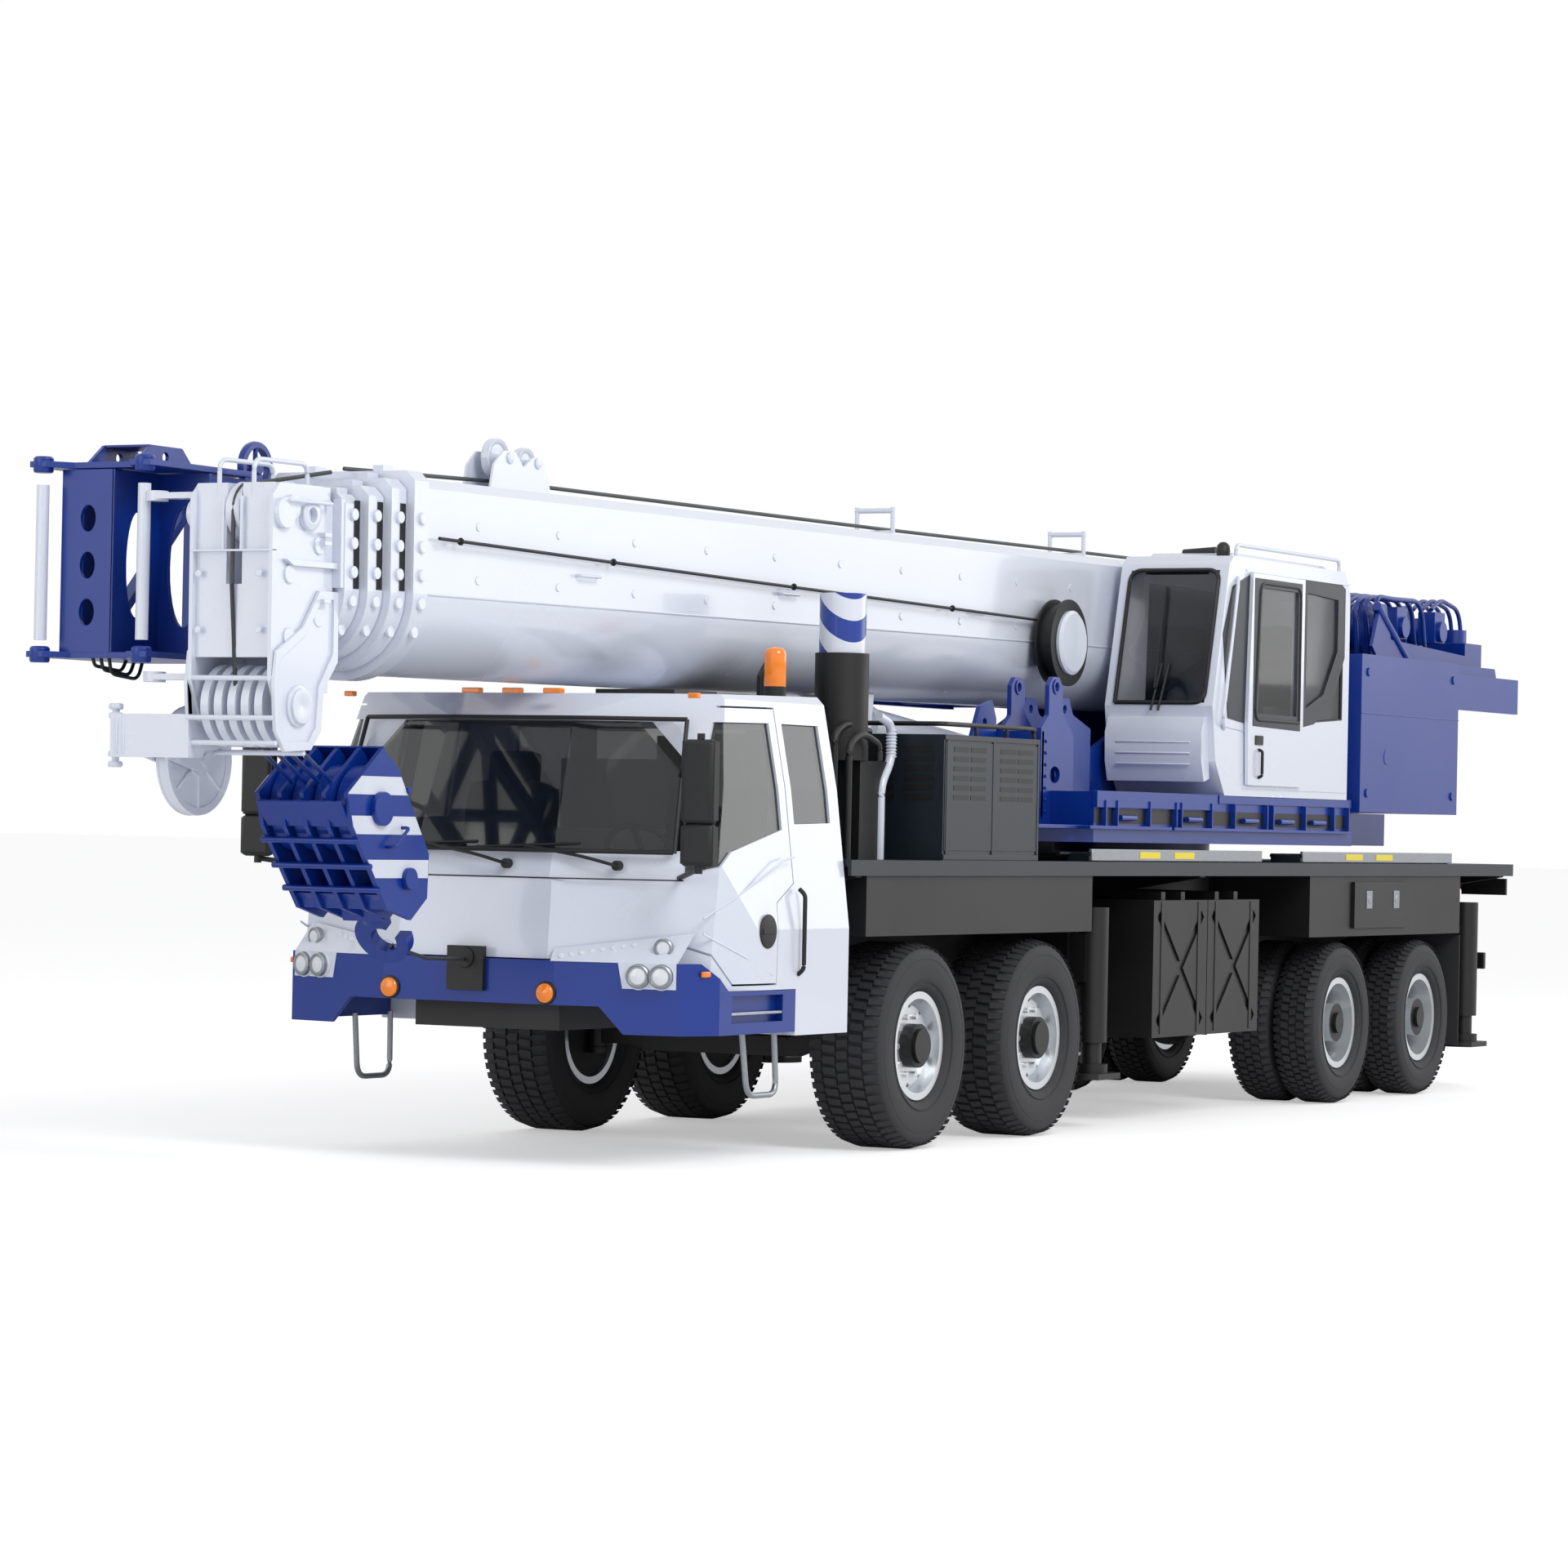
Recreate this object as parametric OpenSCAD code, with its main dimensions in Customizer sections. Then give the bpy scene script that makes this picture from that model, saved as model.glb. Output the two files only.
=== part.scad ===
// Four-axle truck crane with a five-section boom stowed forward over its low cab.
// +X is forward, +Y the left side, +Z up, and the wheels stand on z = 0.
// Lengthwise places are counted from axle 1, until place() moves the origin under the middle.

/* [Carrier] */
// Width over the deck and the cab
body_width = 2590; // [2500:10:2750]
// Rear end of the deck, behind axle 1
deck_rear = 9420; // [9300:10:9550]
// Front end of the deck, ahead of axle 1
deck_front = 955; // [900:5:960]
// Top of the deck above the ground
deck_top = 1605; // [1590:5:1620]
// Thickness of the deck plate
deck_plate = 35; // [20:5:45]
// Depth of the deck's side edge
deck_edge = 85; // [70:5:120]
// Outside width of the frame rails
rail_width = 880; // [840:10:900]
// Bottom of the frame rails above the ground
rail_bottom = 820; // [800:5:840]
// Height of the frame rails
rail_height = 420; // [380:10:440]
// Wall of the frame rails
rail_wall = 20; // [12:2:30]

/* [Wheels] */
// Outside radius of a front tyre
front_tyre_r = 575; // [565:1:580]
// Width of a front tyre
front_tyre_w = 440; // [420:2:446]
// Outside radius of a rear tyre
rear_tyre_r = 538; // [520:1:545]
// Width of one rear tyre
rear_tyre_w = 298; // [280:2:304]
// Middle of a front tyre from the centreline
front_track_y = 1055; // [1045:1:1065]
// Middle of an outer rear tyre from the centreline
outer_track_y = 1120; // [1112:1:1130]
// Middle of an inner rear tyre from the centreline
inner_track_y = 795; // [785:1:803]
// Radius of the rim's flange
rim_r = 302; // [298:1:306]
// Kingpin from the centreline
kingpin_y = 820; // [810:2:830]

/* [Cab] */
// Rear wall of the cab, ahead of axle 1
cab_rear = 970; // [965:1:985]
// Foremost point of the cab's front panel, ahead of axle 1
cab_front = 2705; // [2680:5:2720]
// Cab roof above the ground at its rear
cab_roof = 2478; // [2450:2:2480]
// Wall thickness of the cab
cab_wall = 40; // [30:2:50]
// Gap round a door and round the glass
door_gap = 10; // [8:1:14]

/* [Boom] */
// Boom pivot above the ground
pivot_height = 3100; // [3090:5:3110]
// Boom pivot behind axle 1
pivot_back = 6900; // [6880:10:6920]
// Nose-down angle of the stowed boom in degrees
boom_pitch = 0.55; // [0.4:0.05:0.7]
// Half width of the base section
base_half = 400; // [380:2:402]
// Top of the base section above the boom's axis
base_top = 466; // [440:2:480]
// Bottom of the base section below the boom's axis
base_under = 509; // [490:1:512]
// Step inward from one section to the next
nest_step = 45; // [42:1:48]
// Plate thickness of the boom sections
boom_wall = 12; // [8:1:16]
// Front end of the base section, from the pivot
base_end = 10900; // [10850:10:10950]
// Length of a section's front collar
collar_length = 130; // [110:5:134]
// Foremost face of the boom head, from the pivot
head_end = 11840; // [11800:10:11900]

/* [Superstructure] */
// Slewing centre behind axle 1
slew_back = 5050; // [5030:10:5070]
// Radius of the slew ring
ring_r = 720; // [680:10:740]
// Width over the counterweight and the operator's cab
upper_width = 2500; // [2460:10:2510]
// Height of the counterweight's top above the ground
weight_top = 3020; // [2980:10:3050]
// Rearmost point of the superstructure, behind axle 1
upper_rear = 9630; // [9600:10:9680]

/* [Outriggers] */
// Middle of the front outrigger box behind axle 1
front_box_back = 2570; // [2565:5:2600]
// Middle of the rear outrigger box behind axle 1
rear_box_back = 8920; // [8900:5:8940]
// Height of an outrigger beam
beam_height = 290; // [270:5:300]
// Width of an outrigger beam along the crane
beam_width = 220; // [200:5:230]
// Radius of a jack's float
float_r = 200; // [180:5:205]

/* [Clearances] */
// Gap between sliding or turning faces
run_gap = 0.6; // [0.3:0.1:0.9]
// Gap between a soft or seated piece and its seat
seat_gap = 0.3; // [0.2:0.1:0.5]

/* [Hidden] */
WHEELS = ["1l", "1r", "2l", "2r", "3l", "3r", "4l", "4r"];
CORNERS = ["fl", "fr", "rl", "rr"];

white = "#ebeef8";
blue = "#0f3c8c";
slate = "#2f3e4e";
dark = "#16181a";
silver = "#c8ccd2";
rubber = "#38393f";

half_w = body_width / 2;
axle_x = [0, -1540, -6230, -7730];
rail_top = rail_bottom + rail_height;
rail_y = rail_width / 2;
pitch_cos = cos(boom_pitch);
pitch_sin = sin(boom_pitch);
head_top = 385;
head_chamfer = 60;
front_reach = -pivot_back + head_end * pitch_cos + (head_top - head_chamfer) * pitch_sin;
origin_shift = (upper_rear - front_reach) / 2;
fine = 64;

// Placing and shaping helpers
module place() translate([origin_shift, 0, 0]) children();
module both_sides() {
    children();
    mirror([0, 1, 0]) children();
}
module on_side(right) mirror([0, right ? 1 : 0, 0]) children();
module block(x, y, z) translate([x[0], y[0], z[0]]) cube([x[1] - x[0], y[1] - y[0], z[1] - z[0]]);
// A shape drawn in x and z, made solid between two y values
module side_plate(y0, y1) translate([0, y1, 0]) rotate([90, 0, 0]) linear_extrude(y1 - y0) children();
// A shape drawn in y and z, made solid between two x values
module long_run(x0, x1) translate([x0, 0, 0]) rotate([90, 0, 90]) linear_extrude(x1 - x0) children();
module plan_plate(z0, z1) translate([0, 0, z0]) linear_extrude(z1 - z0) children();
module across(x, z, r, y0, y1) translate([x, y1, z]) rotate([90, 0, 0]) cylinder(h = y1 - y0, r = r, $fn = fine);
module upright(x, y, r, z0, z1) translate([x, y, z0]) cylinder(h = z1 - z0, r = r, $fn = fine);
module along(y, z, r, x0, x1) translate([x0, y, z]) rotate([0, 90, 0]) cylinder(h = x1 - x0, r = r, $fn = fine);
// A round bar from point p to point q
module bar(p, q, r) {
    d = q - p;
    flat = norm([d[0], d[1]]);
    translate(p) rotate([0, atan2(flat, d[2]), atan2(d[1], d[0])]) cylinder(h = norm(d), r = r, $fn = 24);
}

// Frame: two channel rails, cross bearers, spring hangers, outrigger boxes and the ring seat
spring_y = 400;
spring_half = 550;
hanger_bottom = 738;
spring_rise = 75;
spring_top = hanger_bottom - spring_rise;
box_wall = 30;
box_length = 2 * beam_width + 3 * box_wall + 4 * run_gap;
box_floor = 850;
beam_floor = box_floor + box_wall;
box_half_w = 1060;
beam_x = [beam_width / 2 + box_wall / 2 + run_gap, -(beam_width / 2 + box_wall / 2 + run_gap)];
outrigger_x = [-front_box_back, -rear_box_back];
cab_floor = 900;
deck_under = deck_top - deck_plate;
ring_seat_top = deck_top + 35;
bearer_x = [780, -2100, -3875, -6100, -8300, -9300];
bearer_half = half_w - 45;
spigot_r = 300;

module channel_rail(x0, x1, z0, z1) long_run(x0, x1) difference() {
    translate([rail_y - 100, z0]) square([100, z1 - z0]);
    translate([rail_y - 101, z0 + rail_wall]) square([101 - rail_wall, z1 - z0 - 2 * rail_wall]);
}
module hanger(x) block([x - 35, x + 35], [spring_y - 40, spring_y + 40], [hanger_bottom, rail_bottom + 5]);
module deck_bearer(x) {
    block([x - 40, x + 40], [-rail_y + rail_wall, rail_y - rail_wall], [rail_bottom + 150, rail_top]);
    both_sides() block([x - 40, x + 40], [rail_y - 100, rail_y], [rail_top - 5, deck_under - 60]);
    long_run(x - 40, x + 40) polygon([[-bearer_half, deck_under], [-bearer_half, deck_under - 60],
        [-rail_y, deck_under - 200], [rail_y, deck_under - 200], [bearer_half, deck_under - 60],
        [bearer_half, deck_under]]);
}
module beam_tunnel(i) block([beam_x[i] - beam_width / 2 - run_gap, beam_x[i] + beam_width / 2 + run_gap],
    [-half_w, half_w], [beam_floor, beam_floor + beam_height + 2 * run_gap]);

module chassis_frame() color(slate) difference() {
    union() {
        both_sides() {
            channel_rail(-deck_rear + 40, deck_front, rail_bottom, rail_top);
            for (a = axle_x, s = [-1, 1]) hanger(a + s * spring_half);
        }
        for (x = bearer_x) deck_bearer(x);
        for (x = outrigger_x) block([x - box_length / 2, x + box_length / 2], [-box_half_w, box_half_w],
            [box_floor, beam_floor + beam_height + 2 * run_gap + box_wall]);
        translate([-slew_back, 0, 0]) {
            upright(0, 0, ring_r, rail_top - 5, ring_seat_top);
            block([-900, 900], [-rail_y, rail_y], [rail_top - 200, rail_top]);
        }
    }
    for (x = outrigger_x) translate([x, 0, 0]) for (i = [0, 1]) beam_tunnel(i);
    upright(-slew_back, 0, spigot_r + run_gap, rail_top - 100, ring_seat_top + 10);
}

// Low rails under the cab with the cross member that carries the bumper
low_rail_bottom = 700;
low_rail_end = cab_front - 160;
module cab_frame() color(slate) {
    both_sides() channel_rail(deck_front + seat_gap, low_rail_end, low_rail_bottom, cab_floor);
    block([low_rail_end - 40, low_rail_end], [-rail_y, rail_y], [low_rail_bottom, cab_floor]);
}

// Deck plate with its edge, side skirts and the mudguards above the tyres
guard_front = [-2190, 725];
guard_rear = [-8400, -5600];
engine_hole = [-980, 60];
engine_half = 365;
module mudguard(x, z) both_sides() {
    block(x, [rail_y + 60, half_w - 25], [z, z + 16]);
    block(x, [half_w - 41, half_w - 25], [z + 8, deck_top - deck_edge + 5]);
    for (e = [x[0], x[1] - 16]) block([e, e + 16], [rail_y + 60, half_w - 25], [z + 8, deck_under + 5]);
}
module deck() color(slate) difference() {
    union() {
        block([-deck_rear, deck_front], [-half_w, half_w], [deck_under, deck_top]);
        both_sides() block([-deck_rear, deck_front], [half_w - 20, half_w], [deck_top - deck_edge, deck_top]);
        mudguard(guard_front, 2 * front_tyre_r + 40);
        mudguard(guard_rear, 2 * rear_tyre_r + 40);
        for (x = [[-8190, -5440], [-4750, -2150]]) both_sides() {
            for (y = [half_w - 35, half_w - 235]) along(y, deck_top + 45, 14, x[0], x[1]);
            for (u = [x[0] + 30 : 300 : x[1] - 20]) block([u, u + 24], [half_w - 240, half_w - 30],
                [deck_top - 1, deck_top + 50]);
        }
    }
    upright(-slew_back, 0, ring_r + 3, deck_under - 1, deck_top + 1);
    block(engine_hole, [-engine_half, engine_half], [deck_under - 1, deck_top + 1]);
}

// Axles on leaf springs: two steered beams with end eyes, two driven tubes with their casings
eye_r = 70;
pin_r = 40;
beam_top_offset = 45;
spring_plate = 15;
stub_r = 62;
module leaf_spring(z) both_sides() side_plate(spring_y - 35, spring_y + 35) for (k = [0:4])
    let (half = spring_half * (1 - 0.14 * k)) polygon(concat(
        [for (u = [-1:0.25:1]) [u * half, z - (k + 1) * spring_plate + spring_rise * u * u * (half / spring_half)]],
        [for (u = [1:-0.25:-1]) [u * half, z - k * spring_plate + spring_rise * u * u * (half / spring_half)]]));
module steered_axle(hub_z) {
    difference() {
        union() {
            long_run(-55, 55) polygon([[-kingpin_y, hub_z + 60], [-kingpin_y, hub_z - 60], [-560, hub_z - 60],
                [-480, hub_z - 90], [480, hub_z - 90], [560, hub_z - 60], [kingpin_y, hub_z - 60],
                [kingpin_y, hub_z + 60], [560, hub_z + 60], [480, hub_z + 20], [-480, hub_z + 20], [-560, hub_z + 60]]);
            both_sides() {
                upright(0, kingpin_y, eye_r, hub_z - 80, hub_z + 80);
                block([-60, 60], [spring_y - 40, spring_y + 40], [hub_z, spring_top + spring_plate]);
            }
        }
        both_sides() upright(0, kingpin_y, pin_r + run_gap, hub_z - 90, hub_z + 90);
    }
    leaf_spring(spring_top);
}
module driven_axle(hub_z) {
    across(0, hub_z, 85, -outer_track_y + 290, outer_track_y - 290);
    across(0, hub_z, stub_r, -outer_track_y, outer_track_y);
    translate([0, 0, hub_z]) sphere(r = 195, $fn = fine);
    along(0, hub_z, 90, -260, 230);
    both_sides() block([-60, 60], [spring_y - 40, spring_y + 40], [hub_z, spring_top + spring_plate]);
    leaf_spring(spring_top);
}
module axles() color(dark) {
    for (i = [0, 1]) translate([axle_x[i], 0, 0]) steered_axle(front_tyre_r);
    for (i = [2, 3]) translate([axle_x[i], 0, 0]) driven_axle(rear_tyre_r);
}

// Steering knuckle of the left side: fork, kingpin, brake plate and spindle
fork_gap = 5;
spindle_end = 1180;
plate_y = 905;
module knuckle(i) color(dark) translate([axle_x[i / 2 >= 1 ? 1 : 0], 0, front_tyre_r]) on_side(i % 2 == 1) {
    upright(0, kingpin_y, pin_r, -120, 120);
    for (s = [-1, 1]) {
        z = s > 0 ? [80 + fork_gap, 120] : [-120, -80 - fork_gap];
        upright(0, kingpin_y, eye_r, z[0], z[1]);
        block([-50, 50], [kingpin_y, plate_y + 5], z);
    }
    block([-50, 50], [plate_y - 5, plate_y + 20], [-120, 120]);
    across(0, 0, 195, plate_y, plate_y + 20);
    across(0, 0, stub_r, plate_y, spindle_end);
}

// Wheels: the rim with its hub turns on the spindle, and the tyre sits on the rim
seat_r = rim_r - 18;
well_r = rim_r - 40;
module rim_barrel(half) polygon([[well_r, -half], [rim_r, -half], [rim_r, -half + 14], [seat_r, -half + 22],
    [seat_r, half - 22], [rim_r, half - 14], [rim_r, half], [well_r, half]]);
// Closed tyre outline: bead, bulged wall, shoulder and tread
module tyre_section(r, w) {
    bead = seat_r + seat_gap;
    half = w / 2;
    grip = half - 62;
    points = [[bead, -grip], [rim_r - 10, -grip], [rim_r + 6, -grip - 14], [rim_r + 40, -half + 10],
        [(rim_r + r) / 2, -half], [r - 45, -half + 9], [r - 12, -half + 32], [r, -half + 62],
        [r, half - 62], [r - 12, half - 32], [r - 45, half - 9], [(rim_r + r) / 2, half],
        [rim_r + 40, half - 10], [rim_r + 6, grip + 14], [rim_r - 10, grip], [bead, grip]];
    polygon(points);
}
module turned(y) translate([0, y, 0]) rotate([-90, 0, 0]) rotate_extrude($fn = 96) children();
module at_wheel(i) translate([axle_x[floor(i / 2)], 0, i < 4 ? front_tyre_r : rear_tyre_r])
    on_side(i % 2 == 1) children();
nut_ring = 168;
nut_count = 10;
module nuts(y, dir) for (k = [0:nut_count - 1]) rotate([0, k * 360 / nut_count, 0])
    across(nut_ring, 0, 16, min(y, y + dir * 24), max(y, y + dir * 24));
front_disc_y = front_track_y + 118;
module front_rim() difference() {
    union() {
        turned(front_track_y) {
            rim_barrel(front_tyre_w / 2 - 38);
            polygon([[110, 104], [215, 104], [well_r + 4, 60], [well_r + 4, 80], [222, 120], [110, 120]]);
        }
        across(0, 0, 122, plate_y + 28, front_track_y + 190);
        across(0, 0, 96, plate_y + 28, front_track_y + 212);
        nuts(front_disc_y + 2, 1);
    }
    across(0, 0, stub_r + run_gap, plate_y, spindle_end + run_gap);
    for (k = [0:nut_count - 1]) rotate([0, (k + 0.5) * 360 / nut_count, 0])
        across(226, 0, 17, front_track_y, front_track_y + 200);
}
dual_mid = (outer_track_y + inner_track_y) / 2;
module rear_rim() difference() {
    union() {
        for (s = [-1, 1]) turned(dual_mid) mirror([0, s < 0 ? 1 : 0]) {
            translate([0, (outer_track_y - inner_track_y) / 2]) rim_barrel(rear_tyre_w / 2 - 38);
            polygon([[110, 1], [208, 1], [well_r + 4, 70], [well_r + 4, 92], [202, 15], [110, 15]]);
        }
        across(0, 0, 150, dual_mid - 110, dual_mid + 90);
        across(0, 0, 128, dual_mid, outer_track_y + 100);
        across(0, 0, 70, dual_mid, outer_track_y + 125);
        nuts(dual_mid + 14, 1);
    }
    across(0, 0, stub_r + run_gap, 0, outer_track_y + run_gap);
    for (k = [0:nut_count - 1]) rotate([0, (k + 0.5) * 360 / nut_count, 0])
        across(226, 0, 15, dual_mid - 60, dual_mid + 60);
}
module rim(i) color(silver) at_wheel(i) if (i < 4) front_rim(); else rear_rim();
module tyre(i) color(rubber) at_wheel(i) if (i < 4) {
    turned(front_track_y) tyre_section(front_tyre_r, front_tyre_w);
} else {
    turned(outer_track_y) tyre_section(rear_tyre_r, rear_tyre_w);
    turned(inner_track_y) tyre_section(rear_tyre_r, rear_tyre_w);
}

// The cab's form is what lies behind a set of planes.
// Columns: x, y and z of a point on the plane, its compass angle and its upward tilt in degrees.
side_low = 1510;
side_high = 1850;
cab_planes = [
    [cab_front, 0, 1100, 0, 6], [cab_front - 25, 520, 1100, 22, 6], [cab_front - 155, half_w - 105, 1100, 52, 5],
    [2620, 0, 1620, 0, 19], [2600, 480, 1620, 20, 19], [2480, 1120, 1620, 50, 16],
    [2380, 0, 2330, 0, 55], [cab_rear, 0, cab_roof, 0, 89],
    [1900, half_w, 1300, 90, 0], [2000, half_w - 2, 1300, 83, 0], [1500, half_w, side_low, 90, 11],
    [1500, half_w - 75, side_high, 90, 7], [1500, half_w - 165, 2420, 90, 45]];
far = 6000;
module behind(plane, inset) translate([plane[0], plane[1], plane[2]]) rotate([0, -plane[4], plane[3]])
    translate([-far - inset, -far / 2, -far / 2]) cube([far, far, far]);
module cab_form(inset, floor_z) intersection() {
    block([cab_rear + inset, cab_front + 100], [-half_w, half_w], [floor_z, cab_roof + 100]);
    intersection_for(plane = cab_planes) behind(plane, inset);
    intersection_for(plane = cab_planes)
        mirror([0, 1, 0]) behind(plane, inset);
}
// Door outline in x and z, and the window outline inside it; a door reaches this far in from the side
side_reach = 215;
door_front = 2520;
door_rear = 1560;
module door_outline(grow) offset_polygon([[door_rear, 1480], [1760, 1380], [1780, 960], [2200, 960],
    [door_front, 1230], [door_front, 1640], [2300, 2385], [door_rear, 2395]], grow);
// Moves a convex outline's points outward from its middle by about grow
module offset_polygon(points, grow) {
    middle = [for (k = [0, 1]) (max([for (p = points) p[k]]) + min([for (p = points) p[k]])) / 2];
    half = [for (k = [0, 1]) (max([for (p = points) p[k]]) - min([for (p = points) p[k]])) / 2];
    translate(middle) polygon([for (p = points) [for (k = [0, 1]) (p[k] - middle[k]) * (half[k] + grow) / half[k]]]);
}
module side_window_outline(grow) offset_polygon([[door_rear + 70, 1760], [2200, 1640], [door_front - 60, 1480],
    [door_front - 75, 1660], [2240, 2310], [door_rear + 70, 2320]], grow);
module rear_side_window(grow) offset_polygon([[1080, 1800], [1490, 1790], [1490, 2320], [1080, 2320]], grow);
module windscreen_outline(grow) offset_polygon([[-1060, 1640], [1060, 1640], [985, 2310], [-985, 2310]], grow);
arch_rear = 1560;
module cab_shell() color(white) difference() {
    cab_form(0, 680);
    cab_form(cab_wall, cab_floor + 20);
    // Space for the frame and the bumper under the floor
    block([cab_rear - 1, cab_front + 200], [-rail_y - 20, rail_y + 20], [600, cab_floor]);
    block([arch_rear, cab_front + 200], [-half_w - 1, half_w + 1], [600, 925]);
    side_plate(-half_w - 1, half_w + 1) polygon([[2260, 900], [2260, 926],
        [2282, 926], [2490, 1075], [2900, 1075], [2900, 900]]);
    both_sides() {
        side_plate(half_w - side_reach, half_w + 1) door_outline(door_gap);
        side_plate(half_w - 320, half_w + 1) rear_side_window(0);
    }
    long_run(2200, cab_front + 200) windscreen_outline(0);
    long_run(cab_rear - 10, cab_rear + cab_wall + 10) polygon([[-800, 1750], [800, 1750], [800, 2300], [-800, 2300]]);
}
glass_thick = 8;
module glass_skin() difference() {
    cab_form(14, cab_floor + 30);
    cab_form(14 + glass_thick, cab_floor + 29);
}
module cab_glass() color("#1c2b33") {
    intersection() {
        glass_skin();
        long_run(2250, cab_front + 200) windscreen_outline(-seat_gap);
    }
    both_sides() intersection() {
        glass_skin();
        side_plate(half_w - 320, half_w + 1) rear_side_window(-seat_gap);
    }
    intersection() {
        glass_skin();
        long_run(cab_rear, cab_rear + cab_wall) offset_polygon([[-800, 1750], [800, 1750], [800, 2300], [-800, 2300]],
            -seat_gap);
    }
}
// Left door: a shell with its window cut, the pane and the oval handle plate
door_wall = cab_wall;
module cab_door() {
    difference() {
        intersection() {
            difference() {
                cab_form(0, cab_floor);
                cab_form(door_wall, cab_floor - 1);
            }
            side_plate(half_w - side_reach, half_w + 1) door_outline(0);
        }
        side_plate(half_w - side_reach, half_w + 1) side_window_outline(0);
    }
    intersection() {
        difference() {
            cab_form(14, cab_floor);
            cab_form(14 + glass_thick, cab_floor - 1);
        }
        side_plate(half_w - side_reach, half_w + 1) side_window_outline(-seat_gap);
    }
}
module cab_door_left() color(white) cab_door();
module cab_door_right() color(white) mirror([0, 1, 0]) cab_door();

// Two seats, the dash and the steering wheel
seat_y = 640;
module cab_interior() color(dark) {
    both_sides() {
        block([1320, 1860], [seat_y - 250, seat_y + 250], [cab_floor + 20, 1180]);
        side_plate(seat_y - 250, seat_y + 250) polygon([[1300, 1175], [1870, 1175], [1870, 1320], [1450, 1320],
            [1330, 1960], [1210, 1960]]);
        side_plate(seat_y - 130, seat_y + 130) polygon([[1240, 1950], [1330, 1950], [1310, 2150], [1230, 2150]]);
    }
    block([cab_rear + 60, 2400], [-380, 380], [cab_floor + 20, 1060]);
    side_plate(-880, 880) polygon([[2350, 1060], [2425, 1060], [2425, 1560], [2390, 1600], [2220, 1480], [2240, 1380],
        [2350, 1350]]);
    bar([2330, seat_y, 1400], [2060, seat_y, 1585], 28);
    translate([2050, seat_y, 1590]) rotate([0, -56, 0]) {
        rotate_extrude($fn = fine) translate([215, 0]) circle(16);
        translate([-210, -18, -8]) cube([420, 36, 16]);
    }
}

// Bumper wrapped round the front, with lamp pockets and side steps
bumper_front = cab_front + 35;
bumper_top = 1068;
module bumper_plan(inset) polygon([[arch_rear + 4, half_w - inset], [2380, half_w - inset], [2600, half_w - 110 - inset * 0.7],
    [bumper_front - inset, 520], [bumper_front - inset, -520], [2600, -half_w + 110 + inset * 0.7],
    [2380, -half_w + inset], [arch_rear + 4, -half_w + inset]]);
module bumper() color(blue) difference() {
    plan_plate(700, bumper_top) bumper_plan(0);
    plan_plate(690, bumper_top + 10) difference() {
        bumper_plan(60);
        translate([cab_front - 160, -rail_y]) square([400, 2 * rail_y]);
    }
    plan_plate(690, bumper_top + 10) translate([1000, -half_w + 60]) square([1300, 2 * half_w - 120]);
    // The lower edge rises in the middle, and the side top falls back to the step
    long_run(2000, 3000) polygon([[-900, 690], [-760, 840], [760, 840], [900, 690]]);
    side_plate(-half_w - 1, half_w + 1) polygon([[1500, 922], [2280, 922], [2490, 1072], [2900, 1072], [2900, 1100],
        [1500, 1100]]);
    both_sides() block([1700, 2250], [half_w - 45, half_w + 1], [760, 900]);
    both_sides() for (y = [970, 1090]) along(y, 1000, 56, 2500, 3000);
    along(0, 960, 40, 2500, 3000);
}
module lamps() color("#e8ecf2") {
    both_sides() for (y = [970, 1090]) along(y, 1000, 56 - seat_gap, 2520, 2640 - (y - 970) / 3);
    both_sides() block([-deck_rear - 30, -deck_rear - seat_gap], [900, 1240], [1380, 1500]);
    // Beacon beside the boom and three markers on the roof
    upright(1130, 900, 55, roof_z(1075) + seat_gap, roof_z(1075) + 240);
}
function roof_z(x) = cab_roof - (x - cab_rear) * tan(1);

// Mirrors on arms from the cab's front corners
module mirrors() color(dark) both_sides() difference() {
    union() {
        bar([2400, 1050, 2030], [2715, 1345, 2215], 14);
        bar([2400, 1050, 1500], [2715, 1345, 1555], 14);
        upright(2715, 1345, 20, 1530, 2240);
        block([2690, 2740], [1250, 1440], [1800, 2200]);
        block([2690, 2740], [1250, 1440], [1580, 1770]);
    }
    cab_form(-seat_gap, 680);
}

// Engine between the rails, and the plain masses on the deck
module engine_block() color("#50565c") block([-900, 0], [-engine_half + 40, engine_half - 40], [rail_bottom + 60, 2120]);
cover_top = 2280;
rest_x = [500, 780];
module deck_gear() color(slate) {
    // Engine cover, open below
    difference() {
        block([engine_hole[0] - 30, engine_hole[1] + 30], [-engine_half - 60, engine_half + 60], [deck_top, cover_top]);
        block([engine_hole[0], engine_hole[1]], [-engine_half, engine_half], [deck_top - 1, cover_top - 30]);
    }
    // Slatted cooler box on the left, air box on the right
    difference() {
        block([-1390, -150], [480, half_w - 10], [deck_top, 2310]);
        for (k = [0:9]) block([-1330 + k * 120, -1330 + k * 120 + 70], [half_w - 60, half_w + 1], [1720, 2200]);
    }
    block([-1200, -200], [-half_w + 60, -480], [deck_top, 2150]);
    block([30, 350], [720, 1020], [deck_top, 2150]);
    // Boom rest: two posts and a pad beside and under the boom
    both_sides() block([600, 760], [520, 600], [deck_top, 2470]);
    block([600, 760], [-600, 600], [2380, 2470]);
    // Holder and the overhaul ball
    upright(360, 900, 150, 2150, 2740);
    upright(360, 900, 130, 2739, 3070);
}

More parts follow.
